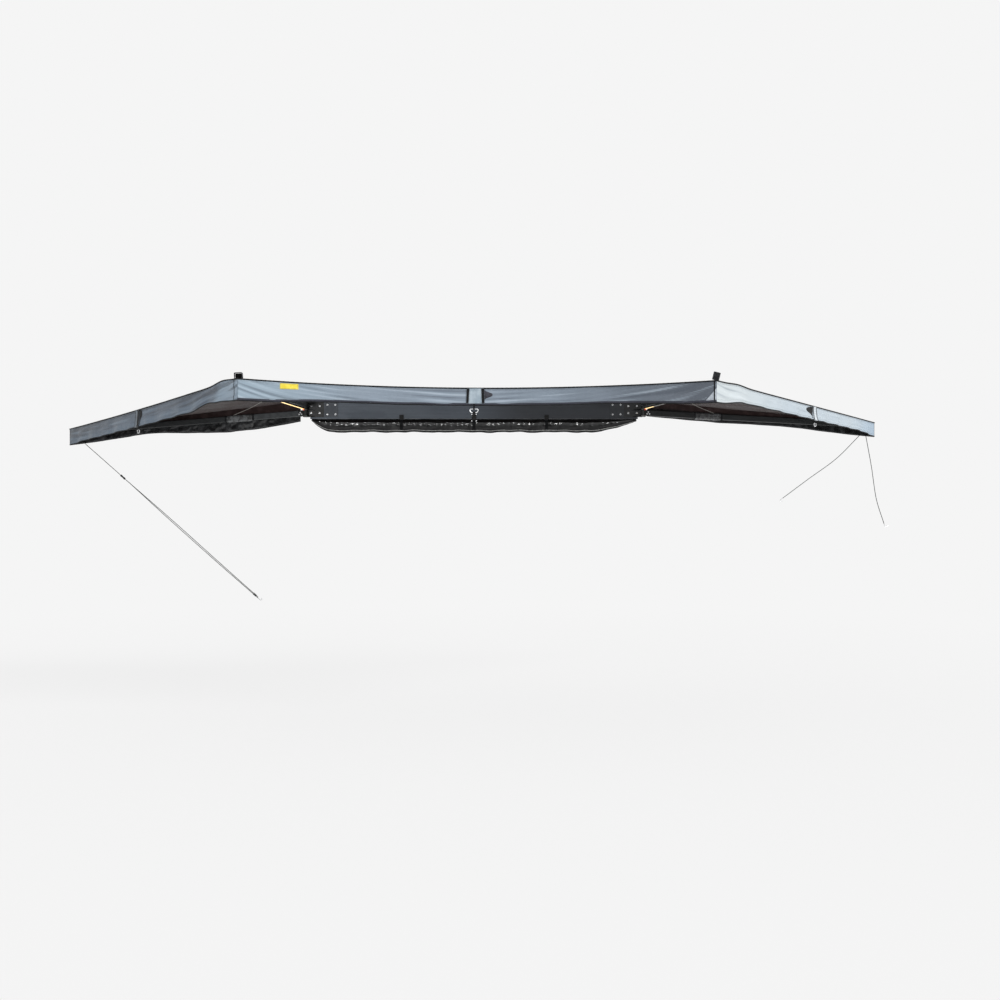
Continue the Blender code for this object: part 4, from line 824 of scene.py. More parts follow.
def skirt_height(where, t):
    at_tip = t < 0.5 if where == "rear" else t >= 0.5
    corner = SKIRT_TIP_HEIGHT.get(where, SKIRT_CORNER_HEIGHT) if at_tip else SKIRT_CORNER_HEIGHT
    return corner + (SKIRT_MIDDLE_HEIGHT[where] - corner) * fade(min(t, 1 - t) * EDGE_WIDTH[where], SKIRT_TAPER)


def skirt_point(where, t, depth):
    """A point of the skirt, from the edge at depth 0 to the hem at 1, with folds that fall from the peaks."""
    edge, width = EDGES[where], EDGE_WIDTH[where]
    from_peak = from_peak_at(where, t)
    calm = fade(min(t, 1 - t) * width) * fade(abs(t - 0.5) * width - STRAP_HALF_WIDTH[where] - 0.02)
    fold = 0.007 * depth * math.sin(2 * math.pi * t * width / SWELL_PITCH + SWELL_SHIFT[where])
    near_peak = 1 - fade(from_peak, 0.8)
    side = 7 if t > 0.5 else 0
    across_folds = across_folds_at(where, from_peak, depth)
    pull = ripple(across_folds / FOLD_PITCH, from_peak / 0.4, len(where) + side) * (0.006 + 0.006 * near_peak)
    pull += ripple(across_folds / 0.0085, from_peak / 0.18, len(where) + 3 + side) * 0.002
    pull *= FOLD_SIZE[where]
    pull += ripple(from_peak / 0.03, depth * 1.5, len(where) + 5 + side) * 0.0012
    envelope = math.sin(math.pi * min(1.0, depth * 0.7 + 0.03)) ** 0.7
    out = calm * (fold + pull * envelope)
    point = edge(t) + edge_outward(edge, t) * out
    drawn = HEM_PULL[where] * hump(from_peak - 0.48, 0.13)
    drop = skirt_height(where, t) * (1 - 0.012 * ripple(from_peak / 0.11, 3.0, len(where)) * calm)
    point.z -= (drop - drawn) * depth
    return point


def skirt_fold(where, t, depth):
    """How much a place on the skirt looks up, out of a fold, or down into one, for the painted light and shade
    of the cloth's folds.
    """
    from_peak = from_peak_at(where, t)
    side = 7 if t > 0.5 else 0
    across_folds = across_folds_at(where, from_peak, depth)
    lower = ripple((across_folds + 0.006) / FOLD_PITCH, from_peak / 0.4, len(where) + side)
    upper = ripple((across_folds - 0.006) / FOLD_PITCH, from_peak / 0.4, len(where) + side)
    fine = ripple(across_folds / 0.006, from_peak / 0.25, len(where) + 9 + side)
    fold = ((lower - upper) * (0.9 + 0.8 * (1 - fade(from_peak, 0.9))) + 0.6 * fine) * FOLD_SIZE[where]
    # Two broad diagonal streaks of painted shade cross the rear skirt.
    if where == "rear":
        fold -= hump(depth - 0.2 - 0.38 * from_peak, 0.07) * hump(from_peak - 0.55, 0.45)
        fold -= 0.8 * hump(depth - 0.08 - 0.22 * from_peak, 0.06) * hump(from_peak - 0.9, 0.7)
    return fold


def cloth_mesh(name, rows, depths=None, runs=None, where=None):
    """A cloth's mesh from rows of points that run anticlockwise seen from above. Its UV map is in metres.

    depths tells for each row how far down the skirt it is, and runs for each column its place along the edge.
    """
    shape = bmesh.new()
    layer = shape.loops.layers.uv.new("UVMap")
    depth_layer = shape.verts.layers.float.new("depth")
    run_layer = shape.verts.layers.float.new("run")
    painted_fold_light_layer = shape.verts.layers.float.new("fold")
    grid = [[shape.verts.new(point) for point in row] for row in rows]
    for r, row in enumerate(grid):
        for k, vertex in enumerate(row):
            vertex[depth_layer] = depths[r] if depths else r / (len(rows) - 1)
            vertex[run_layer] = runs[k] if runs else k / (len(row) - 1)
            vertex[painted_fold_light_layer] = skirt_fold(where, runs[k], depths[r]) if where and depths[r] > 0 else 0.0
    middle = len(rows[0]) // 2
    across, down = [], []
    for r, row in enumerate(rows):
        lengths = [0.0]
        for a, b in zip(row, row[1:]):
            lengths.append(lengths[-1] + (b - a).length)
        across.append([length - lengths[middle] for length in lengths])
        down.append(down[-1] + (row[middle] - rows[r - 1][middle]).length if r else 0.0)
    for r in range(len(rows) - 1):
        for k in range(len(rows[0]) - 1):
            face = shape.faces.new((grid[r][k], grid[r + 1][k], grid[r + 1][k + 1], grid[r][k + 1]))
            face.smooth = True
            for loop, (i, j) in zip(face.loops, ((r, k), (r + 1, k), (r + 1, k + 1), (r, k + 1))):
                loop[layer].uv = (across[i][j], down[i])
    mesh = bpy.data.meshes.new(name)
    shape.to_mesh(mesh)
    shape.free()
    mesh.set_sharp_from_angle(angle=math.radians(48))
    return mesh


def add_sheet(name, mesh, finishes, body, slot, thickness, flat, held, holder, *nodes, offset=1.0):
    """A cloth with its thickness. flat is the size it was cut from, and its area is less where it is shaped."""
    piece = add_piece(name, mesh, finishes, body, slot, *nodes)
    solidify = piece.modifiers.new("cloth thickness", "SOLIDIFY")
    solidify.thickness = thickness
    solidify.offset = offset
    solidify.material_offset = len(finishes) - 1
    area = min(sum(face.area for face in mesh.polygons), flat[0] * flat[1])
    return piece


SKIRT_ROWS = 20


def rail_edge(t):
    return APEX["rear"].lerp(APEX["front"], t)


def inner_edge(where, t):
    return rail_edge(t) if where == "centre" else APEX[where]


def top_point(where, t, share):
    """A point of the canopy's top at a share of the way from the rail or the fan's apex to the edge."""
    point = inner_edge(where, t).lerp(EDGES[where](t), share)
    point.z -= CANOPY_SAG * math.sin(math.pi * share) * math.sin(math.pi * t)
    width = EDGE_WIDTH[where]
    seed = 1 + 2 * len(where) + (t > 0.5)
    from_arm = fade(min(t, 1 - t) * width * share - 0.03, 0.25) * fade(abs(t - 0.5) * width * share, 0.1)
    tight = ripple(t * width / 0.11 * (0.4 + 0.6 * share), share * 2.5, seed) * 0.004
    tight += ripple(t * width / 0.05, share * 9, seed + 2) * 0.0008
    point.z += tight * from_arm * fade(1 - share, 0.12) * fade(share, 0.08)
    return point


def panel_rows(where, t_values, shares):
    """The top of a panel in rows from its inner edge out, then its skirt, just inside the panel's borders."""
    t_low, t_high = t_values[0], t_values[-1]

    def inside(spread):
        margin = SEAM_GAP / spread
        return [t + margin * (1 - 2 * (t - t_low) / (t_high - t_low)) for t in t_values]

    width = EDGE_WIDTH[where]
    rows = []
    for share in shares:
        spread = width if where == "centre" else width * share
        rows.append([top_point(where, t, share) for t in inside(spread)])
    for k in range(SKIRT_ROWS):
        rows.append([skirt_point(where, t, (k + 1) / SKIRT_ROWS) for t in inside(width)])
    return rows


def piping(name, centres, radius, body):
    """Binding sewn over a cloth's edge, as a thin round welt."""
    def welt(angle, length):
        return radius * (1 + 0.06 * math.sin(length / 0.004))

    return add_round(name, centres, 8, welt, trim_finish, body, "webbing")


def edge_line(where, low, high, depth, lift, out):
    """A line along the skirt, at a distance up and out from it."""
    points = []
    for t in evenly(low, high, 150):
        point = skirt_point(where, t, depth) + edge_outward(EDGES[where], t) * out
        points.append(point + Vector((0, 0, lift)))
    return points


def add_tape(name, centres, crosswise, width, thickness, finish, body, *nodes, slot="webbing", closed=False):
    """Flat ribbed tape along a line. crosswise is its direction across, or a list of one for each point."""
    shape = bmesh.new()
    columns = 6
    ribs = [(-0.5 + k / columns, 0.5 - 0.12 * (k % 2)) for k in range(1, columns)]
    profile = [(-0.5, 0.0)] + ribs + [(0.5, 0.0)] + [(across, -up) for across, up in reversed(ribs)]
    rings, lengths = [], []
    count = len(centres)
    for k, centre in enumerate(centres):
        before = centres[k - 1] if k or closed else centre
        after = centres[(k + 1) % count] if k < count - 1 or closed else centre
        side = (crosswise[k] if isinstance(crosswise, list) else crosswise).normalized()
        face = side.cross((after - before).normalized()).normalized()
        lengths.append(lengths[-1] + (centre - centres[k - 1]).length if k else 0.0)
        side, face = side * width, face * thickness
        rings.append([shape.verts.new(centre + side * across + face * up) for across, up in profile])
    lengths.append(lengths[-1] + (centres[0] - centres[-1]).length)
    skin_rings(shape, rings, lambda u, v: (profile[u % len(profile)][0] * width, lengths[v]), closed)
    mesh = to_mesh(name, shape)
    mesh.shade_smooth()
    mesh.set_sharp_from_angle(angle=math.radians(40))
    return add_piece(name, mesh, [finish], body, slot, *nodes)


def seam_tree():
    """Sews a row of stitches along each line of a mesh, each stitch turned to its seam."""
    wire, (seams, stitch, spacing, finish) = new_tree(
        "stitches on seams", ("Seams", "Geometry"), ("Stitch", "Object"), ("Spacing", "Float"),
        ("Finish", "Material")
    )
    lines = wire.node("GeometryNodeMeshToCurve", None, {"Mesh": seams})
    even = wire.node("GeometryNodeResampleCurve", {"mode": "LENGTH"}, {"Curve": lines, "Length": spacing})
    return place_copies(wire, even, stitch, "X", wire.node("GeometryNodeInputTangent"), finish)


def stitch_mesh(length, radius):
    """One stitch: a thread that dips into the cloth at both ends."""
    shape = bmesh.new()
    rings = []
    for x, thick, lift in ((-0.5, 0.5, -0.6), (-0.22, 1.0, 0.3), (0.22, 1.0, 0.3), (0.5, 0.5, -0.6)):
        ring = []
        for i in range(5):
            angle = 2 * math.pi * i / 5
            side, up = math.cos(angle) * radius * thick, (math.sin(angle) * thick + lift) * radius
            ring.append(shape.verts.new((x * length, side, up)))
        rings.append(ring)
    skin_rings(shape, rings)
    return to_mesh("stitch", shape)


SEAM_TREE = seam_tree()
STITCH = bpy.data.objects.new("stitch_pattern", stitch_mesh(0.0044, 0.0005))


def sew(name, seams, body, slot="canopy", spacing=0.0065, finish=thread_finish, stitch=STITCH, smooth=True):
    """One piece of stitches along several seams, each seam a list of points."""
    source = bpy.data.meshes.new(name + "_lines")
    points, edges = [], []
    for seam in seams:
        edges += [(len(points) + k, len(points) + k + 1) for k in range(len(seam) - 1)]
        points += [tuple(point) for point in seam]
    source.from_pydata(points, edges, [])
    mesh = settled(name, source, SEAM_TREE, {"Stitch": stitch, "Spacing": spacing, "Finish": finish})
    if smooth:
        mesh.shade_smooth()
    return add_piece(name, mesh, [], body, slot)


TAPE_WIDTH = 0.026
HEM_TAPE_WIDTH = 0.0125
SKIRT_SEAMS = (0.07, 0.11, 0.86)
PANELS = (
    ("rear_centre", "centre", 0.0, 0.5, "rail"),
    ("front_centre", "centre", 0.5, 1.0, "rail"),
    ("rear_inner", "rear", 0.5, 1.0, "rear_mid_arm"),
    ("rear_outer", "rear", 0.0, 0.5, "rear_side_arm"),
    ("front_inner", "front", 0.0, 0.5, "front_mid_arm"),
    ("front_outer", "front", 0.5, 1.0, "front_side_arm"),
)


def tape_line(where, border, inward, offset, lift):
    """A line on the canopy's top at a distance inwards from a panel's border, from the rail out to the edge."""
    points = []
    for share in evenly(0.1, 0.985, 60):
        spread = EDGE_WIDTH[where] * share if where != "centre" else 2.25 + 0.34 * share
        point = top_point(where, border + inward * offset / spread, share)
        points.append(point + Vector((0, 0, CLOTH + lift)))
    return points


def gather_panel(piece, panel_name):
    end, which = panel_name.split("_")[:2]
    gather(piece, end, {"centre": "centre", "inner": "mid", "outer": "side"}[which])


for panel_name, where, low, high, body in PANELS:
    end = panel_name.split("_")[0]
    t_values = evenly(low, high, 170 if where == "centre" else 150)
    shares = evenly(0.0 if where == "centre" else 0.02, 1, 60)
    rows = panel_rows(where, t_values, shares)
    depths = [share - 1 for share in shares] + evenly(0, 1, SKIRT_ROWS)[1:]
    if where == "centre":
        rows.insert(0, [Vector((p.x, APEX[end].y - CLOTH / 2, BEAD_LEVEL)) for p in rows[0]])
        depths.insert(0, -1.0)
    mesh = cloth_mesh(panel_name + "_cloth", rows, depths, t_values, where)
    wide, long = (max(v.co[i] for v in mesh.vertices) - min(v.co[i] for v in mesh.vertices) for i in (0, 1))
    holder = "back_rail" if where == "centre" else end + "_mid_arm_tube"
    panel = add_sheet(
        panel_name + "_cloth", mesh, [canvas_finish[where], coating_finish], body, "canopy", CLOTH,
        (wide + 0.02, long + 0.12), "stretched", holder, panel_name + "_canopy"
    )
    trims = [
        piping(panel_name + "_edge_piping", edge_line(where, low, high, 0.0, 0.0006, 0.0022), 0.0038, body),
        piping(panel_name + "_hem_piping", edge_line(where, low, high, 1.0, -0.001, 0.0006), 0.0033, body),
    ]
    if where == "centre":
        hem_line = edge_line(where, low, high, 0.95, 0, CLOTH + 0.0008)
        trims.append(add_tape(
            panel_name + "_hem_tape", hem_line, Vector((0, 0, -1)), HEM_TAPE_WIDTH, 0.001, hem_finish, body
        ))
    seams = [edge_line(where, low, high, depth, 0, CLOTH + 0.0003) for depth in SKIRT_SEAMS]
    for border, inward in ((low, 1), (high, -1)):
        middle = tape_line(where, border, inward, 0.018, 0.0007)
        side = middle[-1] - middle[0]
        name = panel_name + ("_low_tape" if inward > 0 else "_high_tape")
        crosswise = Vector((-side.y, side.x, 0))
        trims.append(add_tape(name, middle, crosswise, TAPE_WIDTH, 0.0011, trim_finish, body))
        for offset in (0.0085, 0.0275):
            seams.append(tape_line(where, border, inward, offset, 0.0014))
    trims.append(sew(panel_name + "_stitches", seams, body))
    for piece in [panel] + trims:
        gather_panel(piece, panel_name)

# A round bead is sewn into the middle canopy's edge and slides into the rail's groove.
bead_finish = mottled_finish(
    "grey bead cord", (60, 66, 72), (92, 99, 106), (60.0, 2.0), 0.6, 0.0003, stretch=(1, 8, 8)
)
for end, sign in SIGN.items():
    bead_line = [Vector((sign * reach, APEX[end].y, BEAD_LEVEL)) for reach in evenly(0.0005, 1.1245, 40)]
    add_round(end + "_edge_bead", bead_line, 10, lambda angle, length: 0.003, bead_finish, "rail", "canopy")

# Seams at the corners: the skirts are closed by narrow tape from the edge down to the hem.
CORNER_SEAMS = (
    ("front_centre", "centre", 0.996, "rail"), ("rear_inner", "rear", 0.987, "rear_mid_arm"),
    ("rear_outer", "rear", 0.003, "rear_side_arm"), ("front_outer", "front", 0.997, "front_side_arm"),
)
for panel_name, where, t, body in CORNER_SEAMS:
    out = edge_outward(EDGES[where], t)
    line = [skirt_point(where, t, depth) + out * (CLOTH + 0.0008) for depth in evenly(0, 1, 24)]
    crosswise = out.cross(Vector((0, 0, 1)))
    tape = add_tape(panel_name + "_corner_seam", line, crosswise, 0.0075, 0.001, trim_finish, body)
    gather_panel(tape, panel_name)

# A bare yellow patch is sewn on the middle skirt near its rear corner.
patch_finish = mottled_finish("yellow coated patch", (212, 192, 44), (230, 211, 70), (60.0, 3.0), 0.5, 0.0003)
PATCH_LOW, PATCH_HIGH = 0.086, 0.124
patch_rows = []
for depth in evenly(0.07, 0.36, 8):
    row = []
    for t in evenly(PATCH_LOW, PATCH_HIGH, 24):
        row.append(skirt_point("centre", t, depth) + edge_outward(EDGES["centre"], t) * (CLOTH + 0.0003))
    patch_rows.append(row)
patch = add_sheet(
    "rear_centre_patch", cloth_mesh("rear_centre_patch", patch_rows), [patch_finish], "rail", "canopy", 0.0006,
    (0.102, 0.034), "stretched", "rear_centre_cloth"
)
border = patch_rows[1][1:24] + patch_rows[7][23:0:-1] + [patch_rows[1][1]]
lift = edge_outward(EDGES["centre"], PATCH_LOW) * 0.0009
patch_stitches = sew("rear_centre_patch_stitches", [[point + lift for point in border]], "rail")
for piece in (patch, patch_stitches):
    gather_panel(piece, "rear_centre_patch")


# Edge flaps, black coated cloth that hangs behind each side arm from its far edge. The guy ropes are tied
# to their hems.
FLAP_HEIGHT = {"rear": 0.12, "front": 0.105}
FLAP_SWELL = {"rear": 0.038, "front": -0.015}
FLAP_SWELL_PLACE = {"rear": 0.25, "front": 0.6}
FLAP_SWELL_REACH = {"rear": 0.42, "front": 0.33}
FLAP_DRAWN = {"rear": 0.018, "front": 0.0}
flap_finish, wire = new_material("black coated flap")
creases = wire.speckle(wire.place(), 22.0, 5.0)
lower_part = wire.tag("depth").ramp(0.3, 0.55)
coating_shade = creases.ramp(0.4, 0.7).blend(paint(54, 42, 41), paint(70, 56, 55))
black_shade = creases.ramp(0.4, 0.7).blend(paint(22, 23, 24), paint(50, 51, 53))
finish_material(
    wire, lower_part.blend(coating_shade, black_shade), creases.ramp(0.3, 0.7, 0.28, 0.46), creases, 0.002,
    Coat_Weight=lower_part * 0.5, Coat_Roughness=0.14, Specular_IOR_Level=0.2
)


def flap_point(end, share, depth):
    line = SIDE_CORNER[end] - APEX[end]
    back = Vector((line.y, -line.x, 0)).normalized() * -SIGN[end]
    point = APEX[end] + line * share + back * SEAM_GAP
    calm = fade((1 - share) * CORNER_REACH, 0.4) * fade(share * CORNER_REACH, 0.4)
    fold = 0.004 * math.sin(2 * math.pi * share * CORNER_REACH / SWELL_PITCH)
    along_arm = share * CORNER_REACH
    crumple = ripple(along_arm / 0.05 + depth, depth * 2.2, 9) * 0.004 * fade(depth, 0.4)
    crumple += ripple(along_arm / 0.026 - 2 * depth, depth * 6, 11) * 0.006 * fade(depth - 0.35, 0.4)
    crumple *= 1.0 if end == "rear" else 0.35
    point += back * ((fold * depth + crumple) * calm)
    from_swell = min(1.0, abs(share - FLAP_SWELL_PLACE[end]) / FLAP_SWELL_REACH[end])
    swell = FLAP_SWELL[end] * (0.5 + 0.5 * math.cos(math.pi * from_swell))
    swell -= FLAP_DRAWN[end] * hump(share - 0.66, 0.16)
    point.z -= (FLAP_HEIGHT[end] + swell) * depth * (1 - 0.03 * ripple(share * 14, 1.0, 4) * calm)
    return point


FLAP_ROWS = 16
# Where along the arm each rope is tied to the hem
ROPE_SHARES = {"rear": (0.9317,), "front": (0.932, 0.958)}
for end in SIGN:
    body = end + "_side_arm"
    shares = evenly(0.04, 1, 240)
    if end == "front":
        shares.reverse()
    rows = [[flap_point(end, share, depth) for share in shares] for depth in evenly(0, 1, FLAP_ROWS)]
    tall = FLAP_HEIGHT[end] + max(0.0, FLAP_SWELL[end])
    add_sheet(
        end + "_flap", cloth_mesh(end + "_flap", rows), [flap_finish], body, "canopy", CLOTH,
        (2.17, tall + 0.01), "hung", end + "_side_arm_tube", end + "_edge_flap"
    )
    piping(end + "_flap_piping", [point - Vector((0, 0, 0.0008)) for point in rows[-1]], 0.0018, body)
    sew(end + "_flap_stitches", [[flap_point(end, share, 0.95) for share in shares]], body)

# A short tape sewn into the flap's hem holds each rope.
for end in SIGN:
    for number, share in enumerate(ROPE_SHARES[end], 1):
        hem_point = flap_point(end, share, 1.0)
        line = [hem_point + Vector((0, -0.0022, up)) for up in evenly(0.028, -0.002, 8)]
        crosswise = flap_point(end, share + 0.01, 1.0) - hem_point
        name = end + "_rope_tab_" + str(number)
        add_tape(name, line, crosswise, 0.016, 0.0012, trim_finish, end + "_side_arm")


# Arm wraps, a sleeve of coated cloth round each side arm, closed along its back. Bound ends keep it in place,
# and its slack cloth lies in creases round the arm.
WRAP_START = 0.42
WRAP_END = 0.67
WRAP_CORNER = 0.006
wrap_finish, wire = new_material("grey coated sleeve")
creases = wire.speckle(wire.place(), 40.0, 5.0)
# The sleeve's grey mottle runs to pale streaks, which are painted highlights on its creases.
wrap_mottle_and_painted_highlights = creases.ramp(0.4, 0.65).blend(paint(46, 47, 48), paint(98, 101, 103))
finish_material(
    wire, wrap_mottle_and_painted_highlights, creases.ramp(0.3, 0.7, 0.28, 0.46), creases + wire.threads(0, THREAD) * 0.1, 0.0012,
    Coat_Weight=0.35, Coat_Roughness=0.15
)


def rounded_loop(width, height, corner, arc=5, side=7):
    """Places round a rounded rectangle, each with its outward direction."""
    loop = []
    for quarter in range(4):
        across, up = ((1, 1), (-1, 1), (-1, -1), (1, -1))[quarter]
        middle = Vector((across * (width / 2 - corner), up * (height / 2 - corner)))
        for k in range(arc):
            angle = math.pi / 2 * (quarter + k / (arc - 1))
            way = Vector((math.cos(angle), math.sin(angle)))
            loop.append((middle + way * corner, way))
        length = (height if quarter % 2 else width) - 2 * corner
        onward = Vector((-way.y, way.x))
        loop += [(loop[-1][0] + onward * (length * (i + 1) / side), way) for i in range(side - 1)]
    return loop


def round_arm(frame_of_arm, reach, place, way, out):
    spot = place + way * out
    return frame_of_arm @ Vector((reach, spot.x, ARM_HEIGHT / 2 + spot.y))


for end in SIGN:
    body = end + "_side_arm"
    frame_of_arm = arm_frame(end, "side")
    loop = rounded_loop(ARM_WIDTH, ARM_HEIGHT, WRAP_CORNER)
    if end == "front":
        start = len(loop) // 2 - 4
        loop = loop[start:] + loop[:start]
    rows = []
    for reach in evenly(WRAP_START, WRAP_END, 90):
        slack = fade(min(reach - WRAP_START, WRAP_END - reach) - 0.008, 0.03)
        row = []
        for i, (place, way) in enumerate(loop + loop[:1]):
            turn = 2 * math.pi * i / len(loop)
            long_crease = Vector((reach / 0.021 + 0.8 * math.sin(turn), math.cos(turn) * 1.3, 3.1))
            short_crease = Vector((reach / 0.009, 2 * math.sin(turn), 8.2))
            crease = abs(noise.noise(long_crease)) + 0.4 * abs(noise.noise(short_crease))
            out = 0.0007 + slack * (0.0052 * crease + 0.0012 * (0.5 - 0.5 * way.y))
            row.append(round_arm(frame_of_arm, reach, place, way, out))
        rows.append(row)
    mesh = cloth_mesh(end + "_sleeve", rows)
    mesh.flip_normals()
    add_sheet(
        end + "_sleeve", mesh, [wrap_finish], body, "canopy", 0.0009, (0.26, 0.165), "gathered",
        end + "_side_arm_tube", end + "_arm_wrap"
    )
    lengthwise = frame_of_arm.to_3x3() @ Vector((1, 0, 0))
    for which, reach in (("inner", WRAP_START + 0.007), ("outer", WRAP_END - 0.007)):
        centres = [round_arm(frame_of_arm, reach, place, way, 0.0026) for place, way in loop]
        name = end + "_sleeve_binding_" + which
        add_tape(name, centres, lengthwise, 0.014, 0.0014, trim_finish, body, closed=True)


# Edge straps, a sewn panel over the middle of each skirt with webbing below it that holds a steel D-ring. A
# moulded hook hangs on the middle ring. Dark bands of black tape down the panel's sides are painted shade.
STRAP_FACE = 0.0026
STRAP_HOLDER = {"centre": "rear_centre_cloth", "rear": "rear_inner_cloth", "front": "front_inner_cloth"}
# Each strap hangs from the middle of its edge, and this is also the way along the edge there.
STRAP_FRAMES = {
    "centre": (CENTRE_MIDDLE, Vector((-0.99989, 0.01477, 0))),
    "rear": (FAN_MIDDLE["rear"], Vector((-0.4897, 0.87189, 0))),
    "front": (FAN_MIDDLE["front"], Vector((-0.47287, -0.88113, 0))),
}
# How far each panel sits from its ring along the edge, how far its foot leans, and its bands of painted shade on
# both sides
STRAP_SHIFT = {"centre": -0.008, "rear": 0.006, "front": 0.028}
STRAP_LEAN = {"centre": 0.0, "rear": 0.022, "front": -0.034}
STRAP_PAINTED_SHADE_BANDS = {"centre": (0.016, 0.014), "rear": (0.04, 0.006), "front": (0.013, 0.011)}
# The painted shadow beside each panel, a dark sheet on the skirt where the strap's bulge casts shade: its side,
# how far it reaches, its level below the edge and its height
STRAP_PAINTED_SHADOW = {
    "centre": (-1, 0.046, 0.036, 0.017), "rear": (-1, 0.05, 0.03, 0.03), "front": (1, 0.14, 0.03, 0.022),
}
RING_WIRE = 0.0022
WEBBING_WIDTH = 0.009
WEBBING_WALL = 0.0015
STRAP_DROP = 0.022
HOOK_FACE = -1.9791


def strap_material(name, face, worn):
    material, wire = new_material(name)
    clouds = wire.speckle(wire.place(), 26.0, 4.0)
    shade = clouds.ramp(0.35, 0.65).blend(face, worn)
    finish_material(wire, shade, clouds.ramp(0.3, 0.7, 0.5, 0.7), wire.threads(0, THREAD), 0.0003)
    return material


# The three straps are of one cloth, painted darker on the rear fan and paler on the front fan for the light on
# them.
strap_finish_painted_light_and_shade = {
    "centre": strap_material("pale strap cloth", paint(150, 166, 178), paint(176, 190, 200)),
    "rear": strap_material("grey strap cloth", paint(108, 118, 128), paint(128, 138, 148)),
    "front": strap_material("light strap cloth", paint(204, 213, 220), paint(224, 230, 234)),
}
# The dark cloth of the painted shadow beside the middle strap.
painted_shadow_finish = strap_material("painted shadow beside strap", paint(34, 34, 43), paint(56, 56, 68))
hook_finish = mottled_finish(
    "black moulded hook", (10, 10, 11), (20, 20, 21), (400.0, 2.0), 0.45, Specular_IOR_Level=0.15
)


def strap_place(where, across, out, up):
    """A place in the strap's own axes: along the edge, out from the skirt, and up from the edge."""
    origin, along_edge = STRAP_FRAMES[where]
    outward = Vector((0, 0, 1)).cross(along_edge)
    return origin + along_edge * across + outward * out + Vector((0, 0, up))


